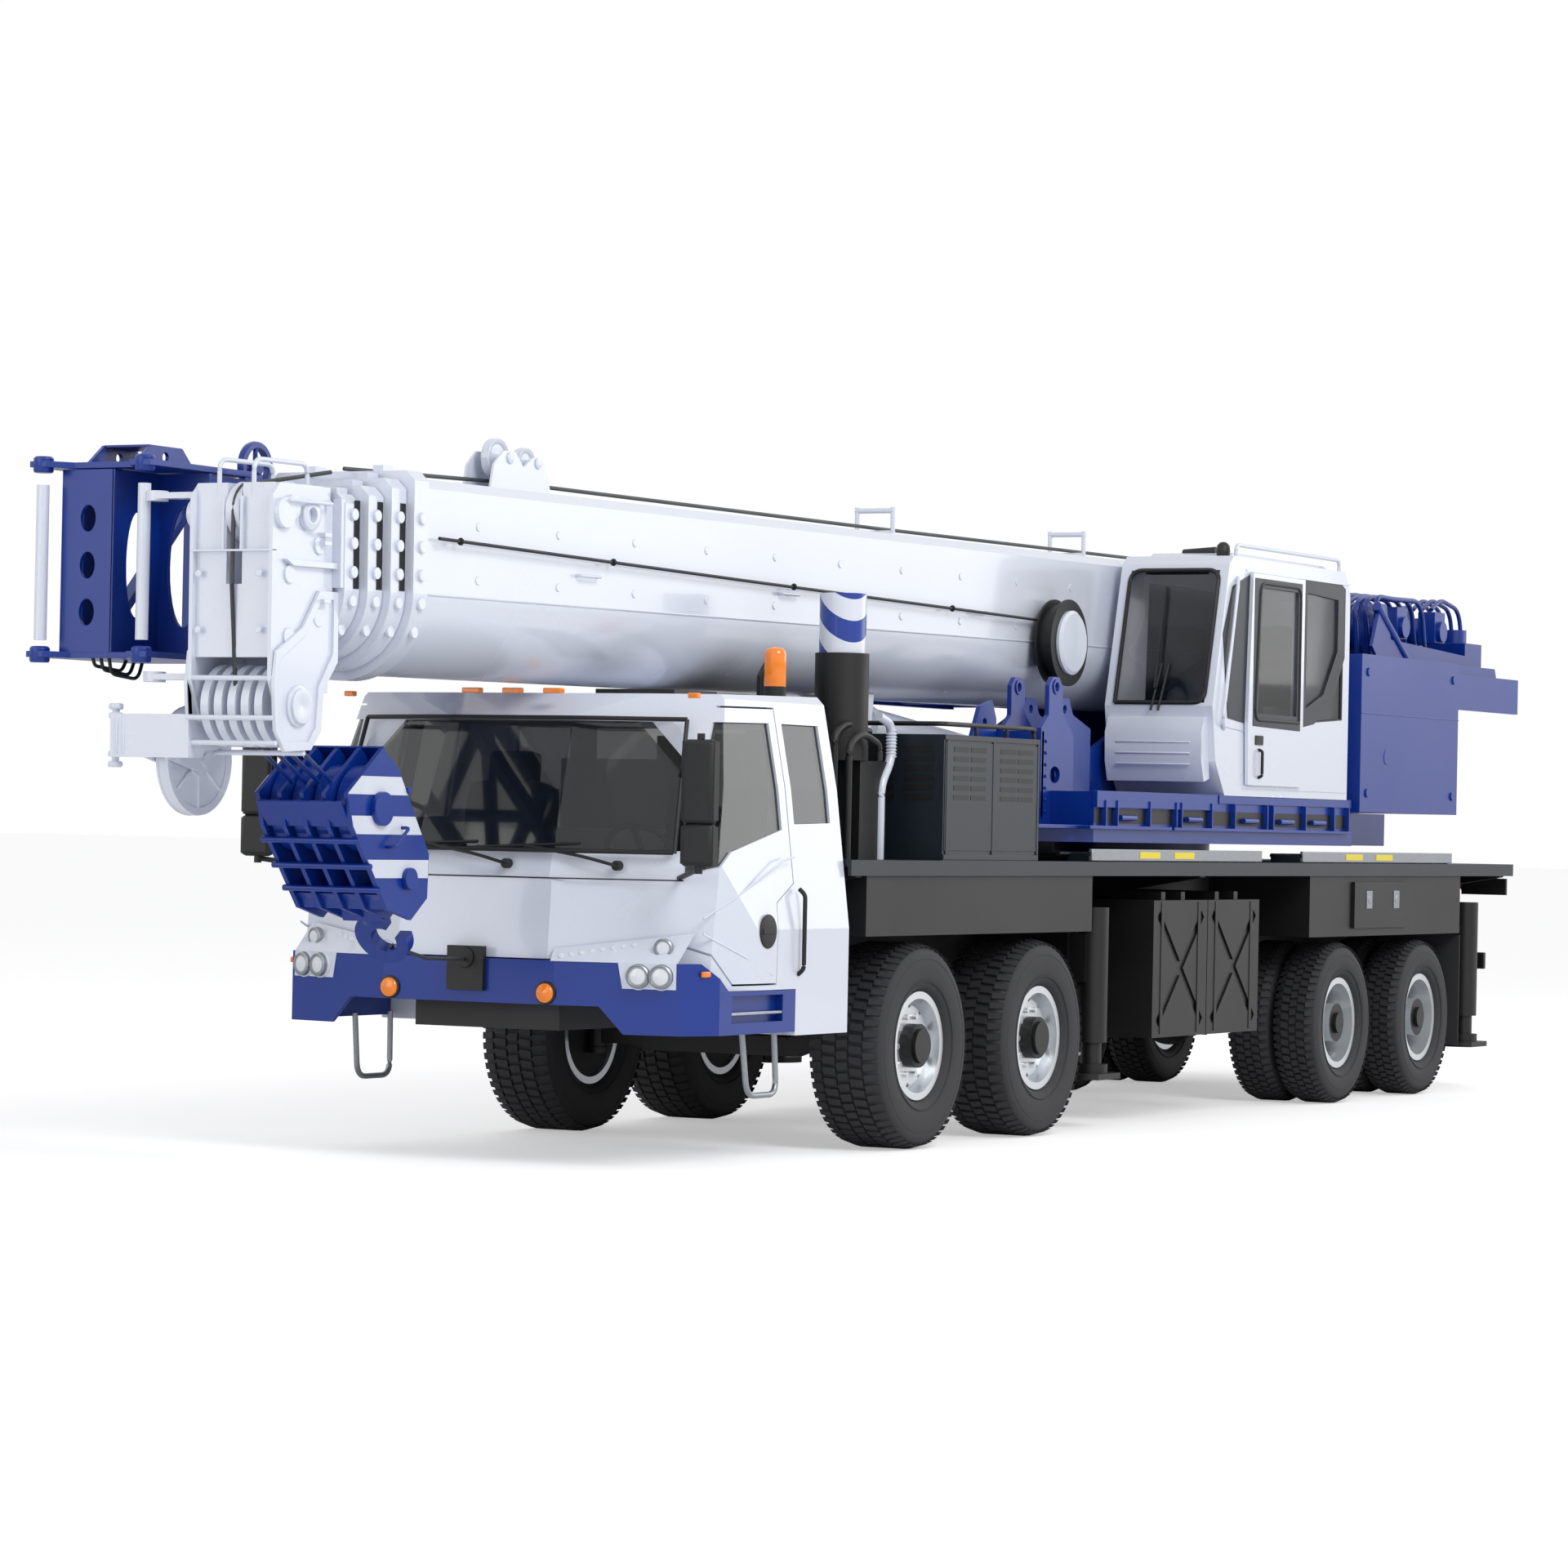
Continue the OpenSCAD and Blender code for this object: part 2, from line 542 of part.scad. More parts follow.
// Tanks and lockers hung below the deck edge
tank_half = 415;
module side_boxes() color(silver) {
    for (x = [-3460, -4290]) difference() {
        block([x - tank_half + 5, x + tank_half - 5], [rail_y + 240, half_w - 5], [530, 1370]);
        translate([x, half_w - 5, 950]) for (s = [-1, 1]) rotate([0, s * 45, 0]) cube([950, 24, 60], center = true);
    }
    for (x = [-3460, -4290], s = [-1, 1]) block([x + s * 150 - 30, x + s * 150 + 30], [rail_y, half_w - 60], [1370, 1420]);
    block([-4700, -3060], [-half_w + 5, -rail_y - 240], [560, 1370]);
    for (x = [-4400, -3400]) block([x - 30, x + 30], [-half_w + 60, -rail_y], [1370, 1420]);
    both_sides() block([-7330, -6340], [half_w - 24, half_w - 2], [1170, 1480]);
}

// Outrigger beams slide out of their boxes, with a jack sleeve at the end
jack_y = 1165;
sleeve_r = 92;
jack_rod_r = 62;
function corner_x(i) = outrigger_x[floor(i / 2)];
module outrigger_beam(i) color(blue) translate([corner_x(i) + beam_x[i % 2], 0, 0]) on_side(i % 2 == 1) difference() {
    union() {
        block([-beam_width / 2, beam_width / 2], [-1000, jack_y], [beam_floor + run_gap, beam_floor + run_gap + beam_height]);
        upright(0, jack_y, sleeve_r, 520, 1330);
    }
    block([-beam_width / 2 + 15, beam_width / 2 - 15], [-1001, jack_y - sleeve_r - 20],
        [beam_floor + 15, beam_floor + beam_height - 15]);
    upright(0, jack_y, jack_rod_r + run_gap, 519, 1300);
}
module jack(i) color(silver) translate([corner_x(i) + beam_x[i % 2], 0, 0]) on_side(i % 2 == 1) {
    upright(0, jack_y, jack_rod_r, 300, 1290);
    upright(0, jack_y, 100, 330, 390);
    intersection() {
        upright(0, jack_y, float_r, 300, 336);
        block([-float_r, float_r], [0, half_w - 5], [290, 340]);
    }
}

// Superstructure: ring, base plate, side plates with the boom and cylinder pins
upper_floor = 1800;
platform_top = 2025;
cyl_pin = [-5300, 1990];
lug_pin = [-1300, 2400];
plate_y0 = base_half + 10;
side_y1 = plate_y0 + 40;
boss_r = 180;
foot_pin_r = 90;
upper_y = upper_width / 2;
// Rear floor: its ends, the front of its crossbeam and its top
rear_floor = [-8960, -6480];
rear_beam_front = -8350;
rear_floor_top = 1950;
// Side platforms: their back end, the front of the left one and of the right one, and the tank block's top
platform_back = -6440;
platform_front = -2340;
tank_front = -3600;
tank_top = 2380;
module turntable() color(blue) {
    upright(-slew_back, 0, ring_r, ring_seat_top + run_gap, 1722);
    upright(-slew_back, 0, spigot_r, rail_top - 60, 1722);
    plan_plate(1720, upper_floor) polygon([[-6490, -upper_y + 50], [-6490, upper_y - 50],
        [platform_front, upper_y - 50], [-1670, 620], [-1670, -620], [platform_front, -upper_y + 50]]);
    both_sides() difference() {
        side_plate(plate_y0, side_y1) polygon([[-1700, upper_floor - 5], [-1700, 2080], [-4000, 2330],
            [-6250, 3150], [-6650, 3380], [-7150, 3380], [-7400, 3050], [-7400, upper_floor - 5]]);
        across(-pivot_back, pivot_height, foot_pin_r + run_gap, plate_y0 - 1, side_y1 + 1);
    }
    // Rear floor to carry the counterweight and winches
    block(rear_floor, [-plate_y0 - 60, -plate_y0 + 100], [upper_floor - 80, rear_floor_top]);
    block(rear_floor, [plate_y0 - 100, plate_y0 + 60], [upper_floor - 80, rear_floor_top]);
    block([rear_floor[0], rear_beam_front], [-plate_y0 - 60, plate_y0 + 60], [1900, rear_floor_top]);
    across(cyl_pin[0], cyl_pin[1], 70, -side_y1, side_y1);
    // Left platform under the operator's cab and the tank block on the right
    block([platform_back, platform_front], [side_y1 - 1, upper_y - 50], [upper_floor - 5, platform_top]);
    block([platform_back, tank_front], [-upper_y + 50, -side_y1 + 1], [upper_floor - 5, tank_top]);
}
weight_x = [-8350, -6500];
module counterweight() color(blue) difference() {
    plan_plate(1951, weight_top) polygon([[weight_x[0], -upper_y], [weight_x[0], upper_y], [weight_x[1], upper_y],
        [weight_x[1], 520], [-7600, 520], [-7600, -520], [weight_x[1], -520], [weight_x[1], -upper_y]]);
}
drum_x = [-7900, -8640];
drum_z = 3260;
module winches() color(blue) {
    for (x = drum_x) {
        across(x, drum_z, 150, -290, 290);
        for (y = [-300, 270]) across(x, drum_z, 240, y, y + 30);
        both_sides() block([x - 120, x + 120], [310, 350], [x > -8200 ? weight_top : 1950, drum_z + 60]);
        across(x, drum_z, 60, -330, 330);
    }
    both_sides() {
        block([-upper_rear, -8350], [upper_y - 60, upper_y - 20], [2700, 2950]);
        block([-8390, -8350], [upper_y - 200, upper_y - 20], [2500, 2950]);
    }
}

// Operator's cab on the left
op_in = 470;
op_out = 1215;
op_floor = platform_top;
module op_form(inset) side_plate(op_in + inset, op_out - inset) polygon([[-6350 + inset, op_floor + inset],
    [-4280 - inset * 0.4, op_floor + inset], [-4120 - inset, 2240], [-4060 - inset, 2590], [-4290 - inset, 3500 - inset],
    [-4360 - inset, 3555 - inset], [-6250 + inset, 3555 - inset], [-6350 + inset, 3400 - inset]]);
op_door_x = [-5480, -4580];
module op_door_window(grow) offset_polygon([[-5400, 2520], [-4660, 2520], [-4720, 3400], [-5400, 3400]], grow);
module op_side_window() polygon([[-6240, 2560], [-5560, 2520], [-5560, 3400], [-6240, 3400]]);
module op_front_window() polygon([[op_in + 70, 2610], [op_out - 60, 2610], [op_out - 60, 3460], [op_in + 70, 3460]]);
module operator_cab() color(white) {
    difference() {
        op_form(0);
        op_form(35);
        side_plate(op_out - 60, op_out + 1) polygon([[-5430, 2120], [-4630, 2120], [-4630, 3440], [-5430, 3440]]);
        side_plate(op_out - 60, op_out + 1) op_side_window();
        side_plate(op_in - 1, op_in + 60) polygon([[-6240, 2560], [-4600, 2520], [-4640, 3400], [-6240, 3400]]);
        long_run(-4400, -4000) op_front_window();
        plan_plate(3500, 3600) translate([-5600, op_in + 120]) square([900, op_out - op_in - 240]);
    }
    // Rail for the sliding door
    block([-6330, -4560], [op_out, op_out + 6], [2076, 2096]);
    block([-6330, -4560], [op_out, op_out + 6], [3466, 3480]);
}
module op_skin() difference() {
    op_form(14);
    op_form(20);
}
module operator_glass() color("#1c2b33") {
    intersection() {
        op_skin();
        side_plate(op_out - 60, op_out + 1) offset_polygon([[-6240, 2560], [-5560, 2520], [-5560, 3400], [-6240, 3400]],
            -seat_gap);
    }
    intersection() {
        op_skin();
        side_plate(op_in - 1, op_in + 60) offset_polygon([[-6240, 2560], [-4600, 2520], [-4640, 3400], [-6240, 3400]],
            -seat_gap);
    }
    intersection() {
        op_skin();
        long_run(-4400, -4000) offset_polygon([[op_in + 70, 2610], [op_out - 60, 2610], [op_out - 60, 3460],
            [op_in + 70, 3460]], -seat_gap);
    }
    intersection() {
        op_skin();
        plan_plate(3500, 3600) translate([-5600 + seat_gap, op_in + 120 + seat_gap])
            square([900 - 2 * seat_gap, op_out - op_in - 240 - 2 * seat_gap]);
    }
}
module operator_seat() color(dark) {
    block([-5750, -5250], [600, 1080], [op_floor + 35, 2400]);
    side_plate(600, 1080) polygon([[-5780, 2399], [-5230, 2399], [-5230, 2520], [-5640, 2520], [-5760, 3150], [-5880, 3150]]);
    for (y = [520, 1090]) block([-5600, -5050], [y, y + 50], [op_floor + 35, 2620]);
}
module operator_door() color(white) {
    difference() {
        side_plate(op_out + 8, op_out + 32) polygon([[op_door_x[0], 2100], [op_door_x[1], 2100], [op_door_x[1] + 20, 2500],
            [op_door_x[1] - 30, 3460], [op_door_x[0], 3460]]);
        side_plate(op_out - 1, op_out + 40) op_door_window(0);
    }
    side_plate(op_out + 16, op_out + 22) op_door_window(-seat_gap);
    // Runners behind the panel
    for (z = [2097, 3458]) block([op_door_x[0] + 60, op_door_x[1] - 120], [op_out + 0.6, op_out + 9], [z, z + 6]);
}

// Boom, drawn along u from the pivot, with its half width, top and bottom per section
module on_boom() translate([-pivot_back, 0, pivot_height]) rotate([0, boom_pitch, 0]) children();
function half_of(n) = base_half - n * nest_step;
function top_of(n) = base_top - n * nest_step;
function under_of(n) = base_under - n * nest_step;
// Flat upper sides on a rounded lower half
module boom_outline(n, grow) {
    half = half_of(n) + grow;
    round_z = -under_of(n) + half_of(n);
    translate([0, round_z]) circle(r = half, $fn = 96);
    polygon([[-half, round_z], [half, round_z], [half, top_of(n) + grow - 50], [half - 50, top_of(n) + grow],
        [-half + 50, top_of(n) + grow], [-half, top_of(n) + grow - 50]]);
}
module boom_tube(n, u0, u1) long_run(u0, u1) difference() {
    boom_outline(n, 0);
    boom_outline(n, -boom_wall);
}
module boom_collar(n, u0, u1) long_run(u0, u1) difference() {
    boom_outline(n, 30);
    boom_outline(n + 1, run_gap);
}
function collar_u(n) = base_end + n * (collar_length + run_gap * 8);
// Stand with two sheaves that carries the hoist rope over the base section
stand_u = [9040, 9660];
stand_half = 75;
stand_sheaves = [[9470, 190, 105], [9190, 180, 85]];
// Gates that the hoist rope runs through
gate_u = [2450, 5160];
gate_half = 120;
gate_rise = 184;
module rope_stand() {
    both_sides() side_plate(stand_half, stand_half + 14) translate([0, base_top]) polygon([[stand_u[0], -6],
        [stand_u[1], -6], [stand_u[1] - 40, 150], [9530, 225], [9410, 225], [9330, 150], [9240, 205], [9140, 205],
        [stand_u[0] + 50, 120]]);
    for (s = stand_sheaves) {
        across(s[0], base_top + s[1], s[2], -14, 14);
        across(s[0], base_top + s[1], 22, -stand_half - 10, stand_half + 10);
    }
}
module rope_gate(u) {
    both_sides() upright(u, gate_half, 14, base_top - 6, base_top + gate_rise);
    for (rise = [30, gate_rise - 20]) across(u, base_top + rise, 16, -gate_half - 10, gate_half + 10);
}
module boom_base() color(white) on_boom() {
    difference() {
        union() {
            rope_stand();
            for (u = gate_u) rope_gate(u);
            boom_tube(0, 300, base_end - 20);
            boom_collar(0, base_end - collar_length, base_end);
            both_sides() side_plate(base_half - 90, base_half - 12) polygon([[-60, -boss_r + 20], [340, -base_under + 260],
                [340, base_top - 60], [0, boss_r], [-120, 130]]);
            both_sides() across(0, 0, boss_r, base_half - 90, base_half);
            across(0, 0, foot_pin_r, -side_y1, side_y1);
            // Lugs for the lift cylinder's rod
            both_sides() side_plate(lug_in, lug_in + 40) translate(lug_local()) polygon([[-160, 168], [160, 168],
                [120, -100], [0, -150], [-120, -100]]);
        }
        translate([lug_local()[0], 0, lug_local()[1]]) across(0, 0, 66, -200, 200);
    }
}
function lug_local() = let (d = [lug_pin[0] + pivot_back, lug_pin[1] - pivot_height])
    [d[0] * pitch_cos - d[1] * pitch_sin, d[0] * pitch_sin + d[1] * pitch_cos];
module boom_section(n) on_boom() {
    boom_tube(n, 420 + n * 60, collar_u(n) - 20);
    boom_collar(n, collar_u(n) - collar_length, collar_u(n));
}
head_half = 240;
head_foot = -611;
sheave_pin = [11620, -680];
// Top sheave: its place, its radius and its half width
top_sheave = [head_end - 150, 250];
top_sheave_r = 140;
top_sheave_half = 25;
// Bore through the head for the pin of a fly jib, clear of the top sheave
jib_bore_r = 30;
jib_bore = [top_sheave[0] - top_sheave_r - jib_bore_r - 40, 240];
// Swing arm for the single line at the lower right: a channel open to the rear, with its sheave between two cheeks
arm_u = [head_end - 140, head_end - 10];
arm_w = [-935, -725];
arm_y = [-700, -head_half + 1];
arm_wall = 20;
line_sheave = [11480, -945];
line_sheave_r = 270;
line_sheave_y = [-470, -430];
module single_line_arm() {
    difference() {
        block(arm_u, arm_y, arm_w);
        block([arm_u[0] - 1, arm_u[1] - arm_wall], [arm_y[0] + arm_wall, arm_y[1] - arm_wall],
            [arm_w[0] + arm_wall, arm_w[1] - arm_wall]);
        block([arm_u[0] - 1, line_sheave[0] + line_sheave_r + 15], [line_sheave_y[0] - 5, line_sheave_y[1] + 5],
            [arm_w[0] - 1, arm_w[1] + 1]);
    }
    for (y = [line_sheave_y[0] - 50, line_sheave_y[1] + 30]) side_plate(y, y + 20) polygon([[arm_u[1] - 5, arm_w[0] + 5],
        [arm_u[1] - 5, arm_w[1] - 5], [arm_u[0] - 60, arm_w[1] - 5], [line_sheave[0] - 55, line_sheave[1] + 40],
        [line_sheave[0] - 55, line_sheave[1] - 45], [line_sheave[0] + 30, line_sheave[1] - 60]]);
    across(line_sheave[0], line_sheave[1], line_sheave_r, line_sheave_y[0], line_sheave_y[1]);
    across(line_sheave[0], line_sheave[1], 35, line_sheave_y[0] - 60, line_sheave_y[1] + 60);
    upright(arm_u[1] - 45, arm_y[0], 18, arm_w[0] - 25, arm_w[1] + 25);
}
module boom_section_5() color(white) on_boom() {
    boom_tube(4, 420 + 4 * 60, collar_u(3) + 30);
    difference() {
        union() {
            block([collar_u(3) + 20, head_end - 30], [-head_half + 20, head_half - 20], [head_foot, head_top]);
            both_sides() side_plate(head_half - 20, head_half) polygon([[collar_u(3) + 20, -420], [collar_u(3) + 20, 300],
                [collar_u(3) + 120, head_top], [head_end - head_chamfer, head_top],
                [head_end, head_top - head_chamfer], [head_end, -560],
                [sheave_pin[0] + 130, sheave_pin[1] - 80], [sheave_pin[0] - 100, sheave_pin[1] - 80],
                [sheave_pin[0] - 140, -560]]);
        }
        block([head_end - 200, head_end + 1], [-45, 45], [-100, head_top + 1]);
        block([sheave_pin[0] - 230, sheave_pin[0] + 190], [-head_half + 20.5, head_half - 20.5], [head_foot - 1, -450]);
        across(jib_bore[0], jib_bore[1], jib_bore_r, -head_half - 1, head_half + 1);
    }
    // Lower sheave stack, its pin and the single top sheave
    across(sheave_pin[0], sheave_pin[1], 45, -head_half + 5, head_half - 5);
    for (k = [-2:2]) across(sheave_pin[0], sheave_pin[1], 200, k * 78 - 22, k * 78 + 22);
    across(top_sheave[0], top_sheave[1], top_sheave_r, -top_sheave_half, top_sheave_half);
    across(top_sheave[0], top_sheave[1], 40, -60, 60);
    single_line_arm();
}

// Stowed lattice jib on the right of the base section
jib_y = [-1180, -560];
jib_z = [2620, 3420];
jib_x = [-5150, 4380];
jib_tube = 70;
jib_bays = 12;
function jib_u(k) = jib_x[0] + k * (jib_x[1] - jib_x[0]) / jib_bays;
// A strut of the lattice from p to q, drawn flat
module strut(p, q, w) {
    d = q - p;
    translate(p) rotate(atan2(d[1], d[0])) translate([0, -w / 2]) square([norm(d), w]);
}
module lattice(low, high, w) {
    for (v = [low, high]) translate([jib_x[0], v - jib_tube / 2]) square([jib_x[1] - jib_x[0], jib_tube]);
    for (k = [0:jib_bays - 1]) {
        strut([jib_u(k) + w / 2, low], [jib_u(k) + w / 2, high], w);
        strut([jib_u(k), k % 2 ? high : low], [jib_u(k + 1), k % 2 ? low : high], w);
    }
    strut([jib_u(jib_bays) - w / 2, low], [jib_u(jib_bays) - w / 2, high], w);
}
module jib() color(blue) {
    for (y = jib_y) side_plate(y - jib_tube / 2, y + jib_tube / 2) lattice(jib_z[0], jib_z[1], 44);
    for (z = jib_z, k = [0:jib_bays]) block([jib_u(k) - 30, jib_u(k) + 30] + (k == 0 ? [30, 30] : k == jib_bays ? [-30, -30] : [0, 0]),
        [jib_y[0], jib_y[1]], [z - 22, z + 22]);
    // Hangers to the base section's side
    for (x = [-3000, 2600], z = jib_z) block([x - 60, x + 60], [jib_y[1], -base_half - seat_gap], [z - 30, z + 30]);
}

// Lift cylinder: barrel on the turntable's pin, rod to the boom's lugs
cyl_run = [lug_pin[0] - cyl_pin[0], lug_pin[1] - cyl_pin[1]];
cyl_length = norm(cyl_run);
cyl_angle = atan2(cyl_run[1], cyl_run[0]);
barrel_r = 140;
lift_rod_r = 105;
barrel_end = cyl_length - 230;
lug_in = lift_rod_r + 15;
module on_cylinder() translate([cyl_pin[0], 0, cyl_pin[1]]) rotate([0, -cyl_angle, 0]) children();
module lift_barrel() color(white) on_cylinder() difference() {
    union() {
        across(0, 0, 165, -130, 130);
        along(0, 0, barrel_r, 60, barrel_end);
        along(0, 0, barrel_r + 12, barrel_end - 90, barrel_end);
    }
    across(0, 0, 70 + run_gap, -200, 200);
    along(0, 0, lift_rod_r + run_gap, 190, barrel_end + 1);
}
module lift_rod() color(silver) on_cylinder() {
    along(0, 0, lift_rod_r, 195, cyl_length - 60);
    across(cyl_length, 0, 118, -lug_in + 5, lug_in - 5);
}

// Hook block below the head, leaning back as it is tied to the bumper
block_top = [4150, 2010];
block_foot = [3640, 1330];
block_angle = atan2(block_top[0] - block_foot[0], block_top[1] - block_foot[1]);
block_height = norm(block_foot - block_top);
module on_block() translate([block_top[0], 0, block_top[1]]) rotate([0, block_angle, 0]) children();
module hook_block() color(blue) {
    on_block() difference() {
        union() {
            for (y = [-260, -130, 0, 130, 260]) side_plate(y - 12, y + 12) polygon([[-190, 0], [190, 0], [250, -160],
                [230, -block_height + 170], [90, -block_height], [-90, -block_height], [-230, -block_height + 170], [-250, -160]]);
            for (y = [-65, 65, -195, 195]) across(0, -230, 215, y - 40, y + 40);
            across(0, -230, 50, -300, 300);
            block([-110, 110], [-120, 120], [-block_height, -block_height + 150]);
        }
        upright(0, 0, 46 + run_gap, -block_height - 1, -block_height + 90);
    }
    // Link from the head's sheave pin down to the block, four lines of rope wide
    for (y = [-117, -39, 39, 117]) bar([rope_top()[0], y, rope_top()[1]], [block_top[0] + 60, y, block_top[1] - 60], 11);
}
function rope_top() = [-pivot_back + sheave_pin[0] * pitch_cos + sheave_pin[1] * pitch_sin - 150,
    pivot_height - sheave_pin[0] * pitch_sin + sheave_pin[1] * pitch_cos - 165];
// Turn of the hook about its shank at rest; its tip points to the machine's left
hook_turn = 90;
module hook() color(blue) on_block() translate([0, 0, -block_height]) {
    upright(0, 0, 46, -40, 85);
    upright(0, 0, 75, -60, -run_gap);
    rotate([0, 0, hook_turn]) rotate([90, 0, 0]) translate([0, -175, -32]) linear_extrude(64) difference() {
        union() {
            circle(r = 150, $fn = fine);
            translate([-40, 60]) square([80, 90]);
        }
        translate([12, -5]) circle(r = 72, $fn = fine);
        polygon([[40, 10], [220, 10], [220, 130], [60, 130]]);
    }
}

place() chassis_frame();
place() cab_frame();
place() deck();
place() axles();
place() bumper();
place() lamps();
place() cab_shell();
place() cab_glass();
place() cab_interior();
place() cab_door_left();
place() cab_door_right();
place() mirrors();
place() engine_block();
place() deck_gear();
place() side_boxes();
for (i = [0:3]) place() knuckle(i);
for (i = [0:7]) {
    place() rim(i);
    place() tyre(i);
}
for (i = [0:3]) {
    place() outrigger_beam(i);
    place() jack(i);
}
place() turntable();
place() counterweight();
place() winches();
place() operator_cab();
place() operator_glass();
place() operator_seat();
place() operator_door();
place() boom_base();
for (n = [1:3]) place() color(white) boom_section(n);
place() boom_section_5();
place() jib();
place() lift_barrel();
place() lift_rod();
place() hook_block();
place() hook();
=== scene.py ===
import math
import bmesh
import bpy
import numpy as np
from bpy.props import FloatProperty, IntProperty, PointerProperty, StringProperty
from mathutils import Matrix, Vector
from mathutils.geometry import tessellate_polygon


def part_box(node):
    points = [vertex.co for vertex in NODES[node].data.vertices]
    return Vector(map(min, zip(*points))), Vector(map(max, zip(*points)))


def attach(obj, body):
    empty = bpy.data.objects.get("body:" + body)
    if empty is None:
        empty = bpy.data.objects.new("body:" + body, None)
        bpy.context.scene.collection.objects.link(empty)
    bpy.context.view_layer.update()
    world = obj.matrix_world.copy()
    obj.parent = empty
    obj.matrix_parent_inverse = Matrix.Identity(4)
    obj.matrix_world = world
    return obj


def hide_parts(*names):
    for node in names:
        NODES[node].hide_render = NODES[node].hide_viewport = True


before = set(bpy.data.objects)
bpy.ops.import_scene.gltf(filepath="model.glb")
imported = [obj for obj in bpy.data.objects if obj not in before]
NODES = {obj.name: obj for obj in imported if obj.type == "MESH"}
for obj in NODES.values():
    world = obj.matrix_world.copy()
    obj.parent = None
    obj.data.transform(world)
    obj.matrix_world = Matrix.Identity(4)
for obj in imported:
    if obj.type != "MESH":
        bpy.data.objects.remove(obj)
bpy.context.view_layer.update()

bl_info = {
    "name": "Truck crane",
    "version": (1, 0, 0),
    "blender": (4, 5, 0),
    "location": "3D View > Sidebar > Truck crane",
    "description": "Dresses the four-axle truck crane's frame with its finishes and fittings",
    "category": "Object",
}


def middle(node):
    """Middle of a CAD node's box."""
    low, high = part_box(node)
    return (low + high) / 2


# Measures in metres, with x from axle 1 and heights from the ground
AXLE_1 = middle("tyre_1l").x
DECK_TOP = 1.605
X = (1, 0, 0)
Y = (0, 1, 0)
Z = (0, 0, 1)
# Radius at which a tyre meets its rim
RIM = 0.302
# Winch drums: places along the crane and height of their axes
DRUMS = (-7.90, -8.64)
DRUM_Z = 3.26
# Boom: pivot in x and z, pitch when stowed, and half width, top and start of the round belly about its axis
BOOM_PIVOT = (-6.900, 3.100)
BOOM_PITCH = math.radians(0.55)
BOOM_HALF = 0.400
BOOM_TOP = 0.466
BOOM_ROUND = -0.109
# Boom head: its end along the boom and its half width
HEAD_END = 11.840
HEAD_HALF = 0.24
# Collars: place of the first, distance to the next, and what each section is smaller by
COLLAR = 10.9
COLLAR_PITCH = 0.1348
SECTION_STEP = 0.045
# Camera fitted to the photo: sensor in mm, focal length and picture width in pixels, place, and its yaw,
# pitch and roll in degrees
SENSOR = 36.0
FOCAL = 5896.03
PICTURE = 1920
CAMERA_PLACE = (23.8912, 13.2915, 1.7893)
CAMERA_TURN = (208.4341, 0.4805, 1.1549)
# Faces of a box whose corners go round its base, then round its top
BOX_FACES = [[3, 2, 1, 0], [4, 5, 6, 7], [0, 1, 5, 4], [1, 2, 6, 5], [2, 3, 7, 6], [3, 0, 4, 7]]
WHEELS = [f"{n}{s}" for n in (1, 2, 3, 4) for s in "lr"]
CORNERS = ["fl", "fr", "rl", "rr"]


def at(x, y, z):
    """A point given from axle 1, in the row frame."""
    return Vector((x + AXLE_1, y, z))


def on_boom(u, y, w):
    """A point on the boom: u along it from its pivot, y to the left, w above its axis."""
    cos, sin = math.cos(BOOM_PITCH), math.sin(BOOM_PITCH)
    return at(BOOM_PIVOT[0] + u * cos + w * sin, y, BOOM_PIVOT[1] - u * sin + w * cos)


def linear(hex_colour):
    """An sRGB hex colour as linear RGBA."""
    parts = [int(hex_colour[k:k + 2], 16) / 255 for k in (1, 3, 5)]
    return [c / 12.92 if c <= 0.04045 else ((c + 0.055) / 1.055) ** 2.4 for c in parts] + [1.0]


# Materials
def add_node(tree, kind, settings=(), values=(), links=()):
    """Adds a node with its own settings, its sockets' values and what is linked to its sockets."""
    node = tree.nodes.new(kind)
    for name, value in dict(settings).items():
        setattr(node, name, value)
    for name, value in dict(values).items():
        node.inputs[name].default_value = value
    for name, source in dict(links).items():
        tree.links.new(source, node.inputs[name])
    return node


